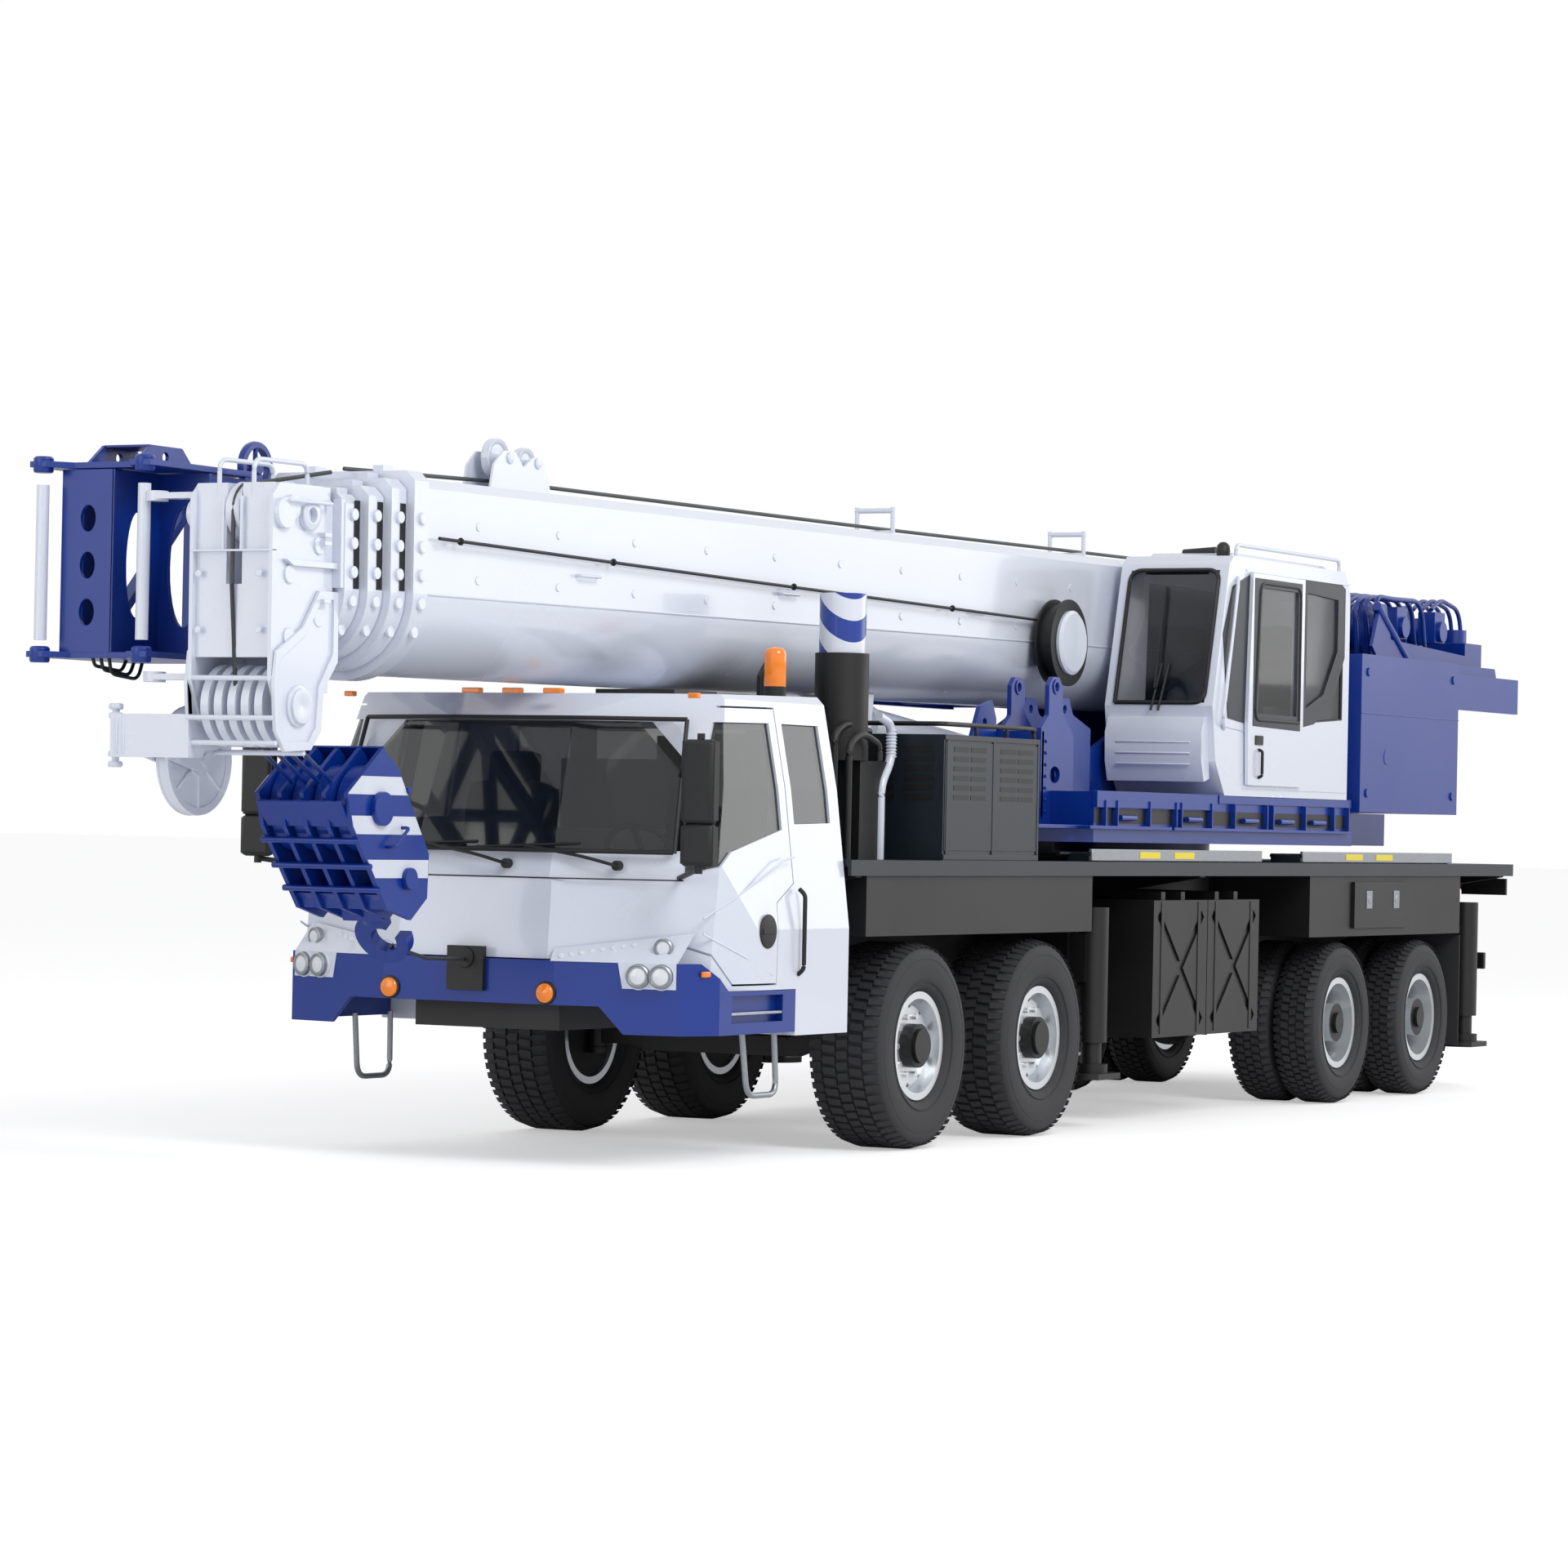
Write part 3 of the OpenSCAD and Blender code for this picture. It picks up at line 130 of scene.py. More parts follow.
def surface(name, colour, second, roughness, rough_span=0.08, metallic=0.0, grain_mm=30.0, bump_mm=0.05,
            coat=0.0, stretch=(1, 1, 1), dust=0.0, sheen=0.0):
    """A surface whose colour, roughness and relief vary with a noise of the real grain size."""
    found = bpy.data.materials.get(name)
    if found:
        return found
    material = bpy.data.materials.new(name)
    material.use_nodes = True
    tree = material.node_tree
    shader = tree.nodes["Principled BSDF"]
    place = add_node(tree, "ShaderNodeTexCoord")
    scaled = add_node(tree, "ShaderNodeMapping", values={"Scale": stretch},
                      links={"Vector": place.outputs["Object"]})
    grain = add_node(tree, "ShaderNodeTexNoise", values={"Scale": 1000 / grain_mm, "Detail": 4.0},
                     links={"Vector": scaled.outputs[0]})
    broad = add_node(tree, "ShaderNodeTexNoise", values={"Scale": 1.3, "Detail": 3.0},
                     links={"Vector": place.outputs["Object"]})
    mixed = add_node(tree, "ShaderNodeMix", {"data_type": "RGBA"}, {6: linear(colour), 7: linear(second)},
                     {0: grain.outputs["Fac"]})
    colour_out = mixed.outputs[2]
    if dust:
        up = add_node(tree, "ShaderNodeNewGeometry")
        height = add_node(tree, "ShaderNodeSeparateXYZ", links={"Vector": up.outputs["Position"]})
        low = add_node(tree, "ShaderNodeMapRange", values={1: 0.2, 2: 1.3, 3: dust, 4: dust * 0.15},
                       links={0: height.outputs["Z"]})
        veil = add_node(tree, "ShaderNodeMath", {"operation": "MULTIPLY"},
                        links={0: low.outputs[0], 1: broad.outputs["Fac"]})
        dusted = add_node(tree, "ShaderNodeMix", {"data_type": "RGBA"}, {7: linear("#6d6a66")},
                          {0: veil.outputs[0], 6: colour_out})
        colour_out = dusted.outputs[2]
    tree.links.new(colour_out, shader.inputs["Base Color"])
    rough = add_node(tree, "ShaderNodeMapRange", values={3: roughness - rough_span,
                                                         4: roughness + rough_span},
                     links={0: broad.outputs["Fac"]})
    tree.links.new(rough.outputs[0], shader.inputs["Roughness"])
    relief = add_node(tree, "ShaderNodeBump", values={"Strength": 0.6, "Distance": bump_mm / 1000},
                      links={"Height": grain.outputs["Fac"]})
    tree.links.new(relief.outputs[0], shader.inputs["Normal"])
    shader.inputs["Metallic"].default_value = metallic
    shader.inputs["Coat Weight"].default_value = coat
    shader.inputs["Coat Roughness"].default_value = 0.06
    shader.inputs["Sheen Weight"].default_value = sheen
    return material


def white_enamel():
    # Sprayed two-pack enamel over steel: cool white, glossy, with a faint orange peel of about 8 mm
    return surface("white sprayed enamel", props().white, "#d6dcea", 0.26, 0.05, grain_mm=8, bump_mm=0.02,
                   coat=0.5)


def blue_enamel():
    # Sprayed enamel: deep blue, glossy, the same orange peel
    return surface("blue sprayed enamel", props().blue, "#002a80", 0.34, 0.06, grain_mm=8, bump_mm=0.02,
                   coat=0.12)


def slate_enamel():
    # Satin chassis enamel: nearly black with a cool cast, a little road dust low down
    return surface("slate chassis enamel", "#17222c", "#121c25", 0.42, 0.08, grain_mm=12, bump_mm=0.05,
                   dust=0.05)


def black_enamel():
    # Black chassis enamel on castings and plates: satin, coarser skin
    return surface("black chassis enamel", "#08090a", "#050506", 0.48, 0.08, grain_mm=10, bump_mm=0.08,
                   dust=0.04)


def moulded_plastic():
    # Moulded black polypropylene: dull with a fine leather grain of 3 mm
    return surface("black moulded plastic", "#0a0b0c", "#0f1011", 0.5, 0.06, grain_mm=3, bump_mm=0.03)


def tyre_rubber():
    # Vulcanised tyre rubber: dark grey, matt, dusty on the tread
    return surface("vulcanised tyre rubber", "#2b2c31", "#232428", 0.72, 0.08, grain_mm=6, bump_mm=0.15,
                   dust=0.14)


def wheel_alloy():
    # Forged and brushed aluminium wheel: bright, fine turned lines
    return surface("forged brushed aluminium", "#eceff2", "#d8dce0", 0.3, 0.07, metallic=0.72, grain_mm=4,
                   bump_mm=0.03)


def galvanised_steel():
    # Galvanised tube and plate: grey zinc spangle of about 15 mm
    return surface("galvanised steel", "#a9adb2", "#8d9196", 0.4, 0.08, metallic=0.85, grain_mm=15,
                   bump_mm=0.05)


def rope_steel():
    # Drawn wire rope, greased: dark grey with strands of 6 mm
    return surface("greased wire rope", "#5b5e61", "#3c3e40", 0.5, 0.1, metallic=0.7, grain_mm=6,
                   bump_mm=0.8)


def hard_chrome():
    # Hard chrome on a cylinder rod: mirror bright
    return surface("hard chrome plate", "#dfe2e5", "#ccd0d4", 0.12, 0.03, metallic=1.0, grain_mm=40,
                   bump_mm=0.01)


def cast_iron():
    # Cast iron of the engine: grainy and dull
    return surface("grey cast iron", "#4b4f54", "#3d4145", 0.6, 0.1, metallic=0.4, grain_mm=5, bump_mm=0.3)


def seat_cloth():
    # Woven seat cloth: dark grey with a 2 mm weave drawn at 5 mm so that it shows
    return surface("woven seat cloth", "#33363b", "#26282c", 0.85, 0.05, grain_mm=5, bump_mm=0.4, sheen=0.3)


def grip_plate():
    # Rolled aluminium tread plate on the steps: light grey, worn
    return surface("rolled tread plate", "#c3c7cc", "#9fa4aa", 0.38, 0.1, metallic=0.8, grain_mm=22,
                   bump_mm=0.6)


def shader_only(name, colour, roughness, alpha=1.0, glow=0.0, coat=0.0):
    """A clear or glowing material whose roughness has a faint smear."""
    found = bpy.data.materials.get(name)
    if found:
        return found
    material = surface(name, colour, colour, roughness, 0.02, grain_mm=200, bump_mm=0.005, coat=coat)
    shader = material.node_tree.nodes["Principled BSDF"]
    shader.inputs["Alpha"].default_value = alpha
    if glow:
        shader.inputs["Emission Color"].default_value = linear(colour)
        shader.inputs["Emission Strength"].default_value = glow
    return material


def tinted_glass():
    # Toughened float glass with a green-grey tint: very smooth, the inside shows through
    return shader_only("tinted float glass", "#161c1f", 0.03, alpha=0.58, coat=0.6)


def clear_glass():
    # The operator's windows: thin float glass, nearly clear
    return shader_only("clear float glass", "#0d1416", 0.03, alpha=0.26, coat=0.6)


def mirror_glass():
    # Silvered mirror glass
    return surface("silvered mirror glass", "#cfd6da", "#c6cdd2", 0.05, 0.01, metallic=1.0, grain_mm=300,
                   bump_mm=0.001)


def clear_lens():
    # Clear polycarbonate lens over a bright reflector
    return shader_only("clear polycarbonate lens", "#dfe5ea", 0.08, coat=0.8)


def amber_lens():
    # Amber polycarbonate, lit through by the sky
    return shader_only("amber polycarbonate lens", "#f08010", 0.14, glow=0.12, coat=0.6)


def red_lens():
    # Red polycarbonate tail lamp
    return shader_only("red polycarbonate lens", "#b01418", 0.14, glow=0.08, coat=0.6)


def yellow_film():
    # Yellow retroreflective film on the deck's edge rails, with a faint painted glow that stands in for the
    # light it throws back
    return shader_only("yellow reflective film with painted glow", "#e8d21e", 0.3, glow=0.05)


def striped_enamel():
    """Blue and white diagonal bands of 90 mm, sprayed on the hook ball."""
    # Two sprayed enamels masked off in diagonal bands; the edge between them is sharp
    name = "striped sprayed enamel"
    material = bpy.data.materials.get(name)
    if material:
        return material
    material = surface(name, props().white, "#e3e7ee", 0.28, 0.05, grain_mm=8, bump_mm=0.02, coat=0.4)
    tree = material.node_tree
    shader = tree.nodes["Principled BSDF"]
    place = add_node(tree, "ShaderNodeTexCoord")
    across = add_node(tree, "ShaderNodeVectorMath", {"operation": "DOT_PRODUCT"}, {1: (2.1, 2.9, 4.2)},
                      {0: place.outputs["Object"]})
    saw = add_node(tree, "ShaderNodeMath", {"operation": "FRACT"}, links={0: across.outputs["Value"]})
    band = add_node(tree, "ShaderNodeMath", {"operation": "GREATER_THAN"}, {1: 0.5}, {0: saw.outputs[0]})
    both = add_node(tree, "ShaderNodeMix", {"data_type": "RGBA"},
                    {6: linear(props().white), 7: linear(props().blue)}, {0: band.outputs[0]})
    tree.links.new(both.outputs[2], shader.inputs["Base Color"])
    return material


# Finish of a slot's pieces when they name no other
FINISH = {"white_paint": white_enamel, "blue_paint": blue_enamel, "black_steel": black_enamel,
          "black_plastic": moulded_plastic, "bright_steel": rope_steel, "alloy": galvanised_steel}
# Cab front: its face at the middle of its foot, heights of its foot and of the windscreen's sill, how far
# the panel below the sill and the windscreen lean back, half width of the flat middle, and the corners' turn
CAB_FACE = 2.705
CAB_FOOT = 1.1
SILL = 1.62
PANEL_LEAN = math.radians(6)
SCREEN_LEAN = math.radians(19)
FLAT_HALF = 0.5
CORNER_WRAP = math.radians(21)
# Front of the bumper across its width: flat, then two bends
BUMPER_PLAN = [(0.0, 2.740), (0.52, 2.740), (1.185, 2.600), (1.295, 2.380)]


def bumper_face(y):
    """Front surface of the bumper at a distance from the middle."""
    return float(np.interp(abs(y), [p[0] for p in BUMPER_PLAN], [p[1] for p in BUMPER_PLAN]))


# Shapes
def put(name, data):
    """A new object in the scene."""
    piece = bpy.data.objects.new(name, data)
    bpy.context.scene.collection.objects.link(piece)
    return piece


class Shape:
    """Gathers the faces of one piece, each with the number of its material."""

    def __init__(self):
        self.points = []
        self.faces = []
        self.paints = []
        self.paint = 0

    def add(self, points, faces):
        start = len(self.points)
        self.points += [tuple(p) for p in points]
        self.faces += [[start + k for k in face] for face in faces]
        self.paints += [self.paint] * len(faces)

    def prism(self, base, offset):
        """A closed outline of points, moved by offset to its other end."""
        n = len(base)
        points = [Vector(p) for p in base] + [Vector(p) + Vector(offset) for p in base]
        sides = [[k, (k + 1) % n, n + (k + 1) % n, n + k] for k in range(n)]
        self.add(points, [list(range(n))[::-1], list(range(n, 2 * n))] + sides)

    def box(self, low, high, place=at):
        x0, y0, z0 = low
        x1, y1, z1 = high
        base = [place(x0, y0, z0), place(x1, y0, z0), place(x1, y1, z0), place(x0, y1, z0)]
        top = [place(x0, y0, z1), place(x1, y0, z1), place(x1, y1, z1), place(x0, y1, z1)]
        self.add(base + top, BOX_FACES)

    def tube(self, path, radius, sides=10):
        """A round tube along a path of points in the row frame."""
        path = [Vector(p) for p in path]
        rings = []
        for k, point in enumerate(path):
            ahead = (path[min(k + 1, len(path) - 1)] - path[max(k - 1, 0)]).normalized()
            side = ahead.cross(Vector(Z))
            if side.length < 0.1:
                side = ahead.cross(Vector(Y))
            side.normalize()
            up = side.cross(ahead)
            rings.append([point + radius * (math.cos(a) * side + math.sin(a) * up)
                          for a in (2 * math.pi * j / sides for j in range(sides))])
        faces = [list(range(sides)), [len(path) * sides - 1 - j for j in range(sides)]]
        for k in range(len(path) - 1):
            for j in range(sides):
                a, b = k * sides + j, k * sides + (j + 1) % sides
                faces.append([a, a + sides, b + sides, b])
        self.add([p for ring in rings for p in ring], faces)

    def lathe(self, profile, centre, axis, sides=32, capped=True):
        """Turns a profile of (radius, distance along axis) about an axis through centre."""
        axis = Vector(axis).normalized()
        side = axis.orthogonal().normalized()
        up = axis.cross(side)
        points = []
        for radius, along in profile:
            for j in range(sides):
                a = 2 * math.pi * j / sides
                spoke = math.cos(a) * side + math.sin(a) * up
                points.append(Vector(centre) + axis * along + radius * spoke)
        faces = []
        for k in range(len(profile) - 1):
            for j in range(sides):
                a, b = k * sides + j, k * sides + (j + 1) % sides
                faces.append([a, b, b + sides, a + sides])
        if capped and profile[0][0] > 0:
            faces.append(list(range(sides))[::-1])
        if capped and profile[-1][0] > 0:
            faces.append([(len(profile) - 1) * sides + j for j in range(sides)])
        self.add(points, faces)

    def slab(self, xs, y, half, zs, place=at):
        """A box that reaches as far to both sides of y."""
        self.box((xs[0], y - half, zs[0]), (xs[1], y + half, zs[1]), place)

    def plate(self, outline, y0, y1, place=at, holes=()):
        """A plate of an outline in x and z, with holes cut through it, between two y values."""
        self.pierced([place(x, y0, z) for x, z in outline],
                     [[place(x, y0, z) for x, z in hole] for hole in holes],
                     place(0, y1, 0) - place(0, y0, 0))

    def wall(self, x, outline, holes, thick):
        """A plate of an outline in y and z, with holes, that stands at x."""
        self.pierced([at(x, y, z) for y, z in outline], [[at(x, y, z) for y, z in hole] for hole in holes],
                     (thick, 0, 0))

    def bent(self, points, radius, corner=0.08, place=at):
        """A round tube through points, with rounded corners."""
        self.tube(arc_path([place(*p) for p in points], radius=corner), radius)

    def spokes(self, centre, count, first, inner, outer, radius):
        """Round spokes about the y axis, the first of them at an angle."""
        for k in range(count):
            a = 2 * math.pi * k / count + first
            arm = Vector((math.cos(a), 0, math.sin(a)))
            self.tube([centre + arm * inner, centre + arm * outer], radius, 8)

    def pierced(self, outline, holes, offset):
        """A flat outline with holes, given as points in space, made solid by an offset."""
        loops = [outline] + list(holes)
        points = [Vector(p) for loop in loops for p in loop]
        count = len(points)
        caps = [list(face) for face in tessellate_polygon([[Vector(p) for p in loop] for loop in loops])]
        faces = caps + [[count + k for k in face[::-1]] for face in caps]
        start = 0
        for loop in loops:
            n = len(loop)
            faces += [[start + k, start + (k + 1) % n, count + start + (k + 1) % n,
                       count + start + k] for k in range(n)]
            start += n
        self.add(points + [p + Vector(offset) for p in points], faces)

    def disc(self, centre, axis, radius, thick, sides=28, edge=0.003):
        """A round disc or boss with a small chamfer, standing out along its axis."""
        self.lathe([(radius, 0), (radius, thick - edge), (radius - edge, thick)], centre, axis, sides)

    def build(self, name, body, slot, materials=None, bevel=0.0, smooth=40):
        mesh = bpy.data.meshes.new(name)
        mesh.from_pydata(self.points, [], self.faces)
        for material in materials or [FINISH[slot]()]:
            mesh.materials.append(material)
        mesh.polygons.foreach_set("material_index", self.paints)
        work = bmesh.new()
        work.from_mesh(mesh)
        bmesh.ops.remove_doubles(work, verts=work.verts, dist=1e-6)
        bmesh.ops.recalc_face_normals(work, faces=work.faces)
        work.to_mesh(mesh)
        work.free()
        piece = put(name, mesh)
        if bevel:
            soften = piece.modifiers.new("edges", "BEVEL")
            soften.width = bevel
            soften.segments = 2
            soften.limit_method = "ANGLE"
            soften.angle_limit = math.radians(40)
        mesh.shade_smooth()
        mesh.set_sharp_from_angle(angle=math.radians(smooth))
        if body:
            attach(piece, body)
        return piece


def arc_path(points, steps=6, radius=0.08):
    """A path whose corners are rounded."""
    points = [Vector(p) for p in points]
    out = [points[0]]
    for before, corner, after in zip(points, points[1:], points[2:]):
        back = before - corner
        forth = after - corner
        reach = min(radius, back.length * 0.45, forth.length * 0.45)
        a = corner + back.normalized() * reach
        b = corner + forth.normalized() * reach
        for k in range(steps + 1):
            t = k / steps
            out.append(a * (1 - t) ** 2 + corner * 2 * t * (1 - t) + b * t ** 2)
    out.append(points[-1])
    return out


def oval(x, z, rx, rz, sides=28):
    """Points of an oval hole."""
    return [(x + rx * math.cos(2 * math.pi * k / sides), z + rz * math.sin(2 * math.pi * k / sides))
            for k in range(sides)]


# Cushions: rise of the crown, depth of a sewn channel and pull of the sides, as shares of the half size
CROWN = 0.28
CHANNEL = 0.16
PULL = 0.035


def cushion(name, body, centre, size, lean=0.0, channels=(), steps=14):
    """A stuffed pad: crowned faces, sides that pull in between the corners, and sewn channels across it."""
    mesh = bpy.data.meshes.new(name)
    work = bmesh.new()
    bmesh.ops.create_cube(work, size=2.0)
    bmesh.ops.subdivide_edges(work, edges=work.edges, cuts=steps, use_grid_fill=True)
    half = Vector(size) / 2
    turn = Matrix.Rotation(lean, 3, "Y")
    for vertex in work.verts:
        p = vertex.co.copy()
        norm = sum(abs(c) ** 7 for c in p) ** (1 / 7)
        q = p / norm
        crown = (1 - p.x ** 2) * (1 - p.y ** 2)
        if abs(p.z) > 0.99:
            q.z *= 1 + CROWN * crown
            for channel in channels:
                q.z *= 1 - CHANNEL * math.exp(-((p.x - channel) / 0.07) ** 2)
        q.x *= 1 - PULL * (1 - p.y ** 2)
        q.y *= 1 - PULL * (1 - p.x ** 2)
        vertex.co = Vector(centre) + turn @ Vector([q[k] * half[k] for k in range(3)])
    work.to_mesh(mesh)
    work.free()
    mesh.materials.append(seat_cloth())
    mesh.shade_smooth()
    piece = put(name, mesh)
    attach(piece, body)
    return piece


# Finishes of the CAD pieces
def islands(piece):
    """Polygon numbers of each separate solid in a mesh."""
    mesh = piece.data
    places = {}
    group = list(range(len(mesh.vertices)))

    def root(k):
        while group[k] != k:
            group[k] = group[group[k]]
            k = group[k]
        return k
    for k, vertex in enumerate(mesh.vertices):
        key = tuple(round(c, 5) for c in vertex.co)
        group[root(k)] = root(places.setdefault(key, k))
    for polygon in mesh.polygons:
        first = root(polygon.vertices[0])
        for v in polygon.vertices[1:]:
            group[root(v)] = first
    found = {}
    for polygon in mesh.polygons:
        found.setdefault(root(polygon.vertices[0]), []).append(polygon.index)
    return list(found.values())


def give(mesh, materials):
    """Fills a mesh's material slots."""
    mesh.materials.clear()
    for material in materials:
        mesh.materials.append(material)


def paint_node(node, materials, choose=None):
    """Gives a CAD node its materials; choose says which one from a polygon's middle and normal."""
    mesh = NODES[node].data
    give(mesh, materials)
    numbers = [0] * len(mesh.polygons)
    if choose:
        numbers = [choose(p.center, p.normal) for p in mesh.polygons]
    mesh.polygons.foreach_set("material_index", numbers)
    mesh.update()


def paint_islands(node, materials, choose):
    """Gives each separate solid of a CAD node one material, chosen from its box."""
    mesh = NODES[node].data
    give(mesh, materials)
    for island in islands(NODES[node]):
        points = [mesh.vertices[v].co for k in island for v in mesh.polygons[k].vertices]
        low = Vector([min(p[k] for p in points) for k in range(3)])
        high = Vector([max(p[k] for p in points) for k in range(3)])
        number = choose(low, high)
        for k in island:
            mesh.polygons[k].material_index = number
    mesh.update()


def dress_frame():
    plain = {
        "chassis_frame": black_enamel, "deck": slate_enamel, "axles": black_enamel, "bumper": blue_enamel,
        "cab_shell": white_enamel, "cab_glass": tinted_glass, "cab_interior": moulded_plastic,
        "cab_frame": black_enamel,
        "mirrors": moulded_plastic, "engine_block": cast_iron, "side_boxes": black_enamel,
        "turntable": blue_enamel, "counterweight": blue_enamel, "winches": blue_enamel,
        "operator_cab": white_enamel, "operator_glass": clear_glass, "operator_seat": moulded_plastic,
        "boom_base": white_enamel, "jib": blue_enamel,
        "lift_barrel": white_enamel, "lift_rod": hard_chrome, "hook": blue_enamel,
    }
    for c in CORNERS:
        plain[f"outrigger_beam_{c}"] = black_enamel
        plain[f"jack_{c}"] = black_enamel
    for w in WHEELS[:4]:
        plain[f"knuckle_{w}"] = black_enamel
    for n in (2, 3, 4, 5):
        plain[f"boom_section_{n}"] = white_enamel
    for node, material in plain.items():
        paint_node(node, [material()])
    # A door's pane is its only solid less than a metre high
    for node, glass in (("cab_door_left", tinted_glass), ("cab_door_right", tinted_glass),
                        ("operator_door", clear_glass)):
        paint_islands(node, [white_enamel(), glass()], lambda low, high: 1 if high.z - low.z < 1.0 else 0)
    for w in WHEELS:
        hub = middle(f"rim_{w}")
        paint_node(f"rim_{w}", [wheel_alloy(), black_enamel()],
                   lambda c, n, hub=hub: 1 if math.hypot(c.x - hub.x, c.z - hub.z) < 0.127 else 0)
    paint_islands("lamps", [clear_lens(), red_lens(), amber_lens(), black_enamel()],
                  lambda low, high: 1 if low.x < AXLE_1 - 5 else 2 if low.z > 2 else 0)
    for polygon in NODES["lamps"].data.polygons:
        if polygon.material_index == 1 and polygon.normal.x > -0.5:
            polygon.material_index = 3
    ball = at(0.36, 0.9, 2.742)
    cooler = at(-0.14, 0.47, 0)

    def gear_paint(c, n):
        if c.z > ball.z - 0.002 and math.hypot(c.x - ball.x, c.y - ball.y) < 0.14:
            return 1
        return 2 if c.x < cooler.x and c.y > cooler.y else 0
    paint_node("deck_gear", [black_enamel(), striped_enamel(), slate_enamel()], gear_paint)
    paint_node("deck", [slate_enamel(), black_enamel()], lambda c, n: 1 if c.z < DECK_TOP - 0.088 else 0)
    paint_node("hook_block", [blue_enamel(), rope_steel()],
               lambda c, n: 1 if c.z > 2.03 and c.x > AXLE_1 + 4.16 else 0)


# Tyres
def tyre_mesh(name, radius, width, middles, rim):
    """Tyres of one wheel about the y axis, with cut tread blocks and lugged shoulders."""
    shape = Shape()
    half = width / 2
    depth = props().tread_depth / 1000
    for y in middles:
        base = radius - depth
        profile = [(rim - 0.016, -half + 0.062), (rim - 0.008, -half + 0.060), (rim + 0.008, -half + 0.046),
                   (rim + 0.016, -half + 0.028), (rim + 0.04, -half + 0.010), (rim + 0.09, -half + 0.002),
                   ((rim + radius) / 2, -half), (radius - 0.075, -half + 0.003),
                   (base - 0.03, -half + 0.012),
                   (base - 0.008, -half + 0.03), (base, -half + 0.055), (base + 0.002, 0)]
        whole = profile + [(r, -a) for r, a in profile[-2::-1]] + [(rim - 0.016, -half + 0.062)]
        shape.lathe(whole, (0, y, 0), Y, sides=96)
        # Sidewall ribs: two thin raised rings each side
        for side in (-1, 1):
            for r in (rim + 0.055, radius - 0.09):
                shape.lathe([(r - 0.004, side * (half - 0.006)), (r, side * (half - 0.0005)),
                             (r + 0.004, side * (half - 0.006))], (0, y, 0), Y, sides=96, capped=False)
        count = props().tread_pitches
        step = 2 * math.pi / count
        # Rows: inner edge, outer edge, share of the pitch, offset, skew, as shares of the half width
        rows = [(-0.98, -0.62, 0.66, 0.0, 0.25), (-0.56, -0.21, 0.72, 0.5, -0.3),
                (-0.15, 0.15, 0.74, 0.0, 0.3),
                (0.21, 0.56, 0.72, 0.5, -0.3), (0.62, 0.98, 0.66, 0.0, 0.25)]
        for low, high, share, offset, skew in rows:
            edge = abs(low) > 0.9 or abs(high) > 0.9
            for k in range(count):
                start = (k + offset) * step
                points = []
                for r in (base - 0.006, radius):
                    inset = 0.0 if r < radius else 0.04
                    for y_share, a in ((low, 0.0), (high, 0.0), (high, share), (low, share)):
                        lean = skew * step * (y_share - (low + high) / 2)
                        drop = 0.022 if edge and abs(y_share) > 0.9 and r == radius else 0.0
                        angle = start + (a + (inset if a == 0 else -inset)) * step + lean
                        yy = y + y_share * (half - 0.006) * (0.985 if r == radius else 1.0)
                        points.append(((r - drop) * math.cos(angle), yy, (r - drop) * math.sin(angle)))
                shape.add(points, BOX_FACES)
    return shape.build(name, None, None, [tyre_rubber()], smooth=35)


def make_tyres():
    for first, middles in (("1l", (0.0,)), ("3l", (0.1625, -0.1625))):
        low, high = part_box(f"tyre_{first}")
        radius = (high.z - low.z) / 2
        width = high.y - low.y if first == "1l" else (high.y - low.y) - 0.325
        pattern = tyre_mesh(f"tyre_pattern_{first}", radius, width, middles, RIM)
        for w in WHEELS[:4] if first == "1l" else WHEELS[4:]:
            piece = pattern if w == first else put(f"tread_{w}", pattern.data)
            piece.name = f"tread_{w}"
            turn = 0.0 if w.endswith("l") else math.pi
            piece.matrix_world = Matrix.Translation(middle(f"tyre_{w}")) @ Matrix.Rotation(turn, 4, "Z")
            bpy.context.view_layer.update()
            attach(piece, f"wheel_{w}")
            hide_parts(f"tyre_{w}")


# Road cab
def front_x(y, z):
    """Front surface of the cab at a height, across its width."""
    if z < SILL:
        lean = (z - CAB_FOOT) * math.tan(PANEL_LEAN)
    else:
        lean = 0.055 + (z - SILL) * math.tan(SCREEN_LEAN)
    wrap = max(abs(y) - FLAT_HALF, 0.0) * math.tan(CORNER_WRAP)
    return CAB_FACE - lean - wrap


def lamp_panel_top(y):
    """Upper edge of the white lamp panel across its width."""
    return 1.13 + (y - 0.5) * 0.135


def lamp_panel(y, z):
    """Front of the lamp panel: on the bumper below its top, then leaning back to the cab."""
    top = lamp_panel_top(y)
    share = min(max((z - 1.069) / (top - 1.069), 0.0), 1.0)
    return (bumper_face(y) + 0.005) * (1 - share) + (front_x(y, top) + 0.006) * share


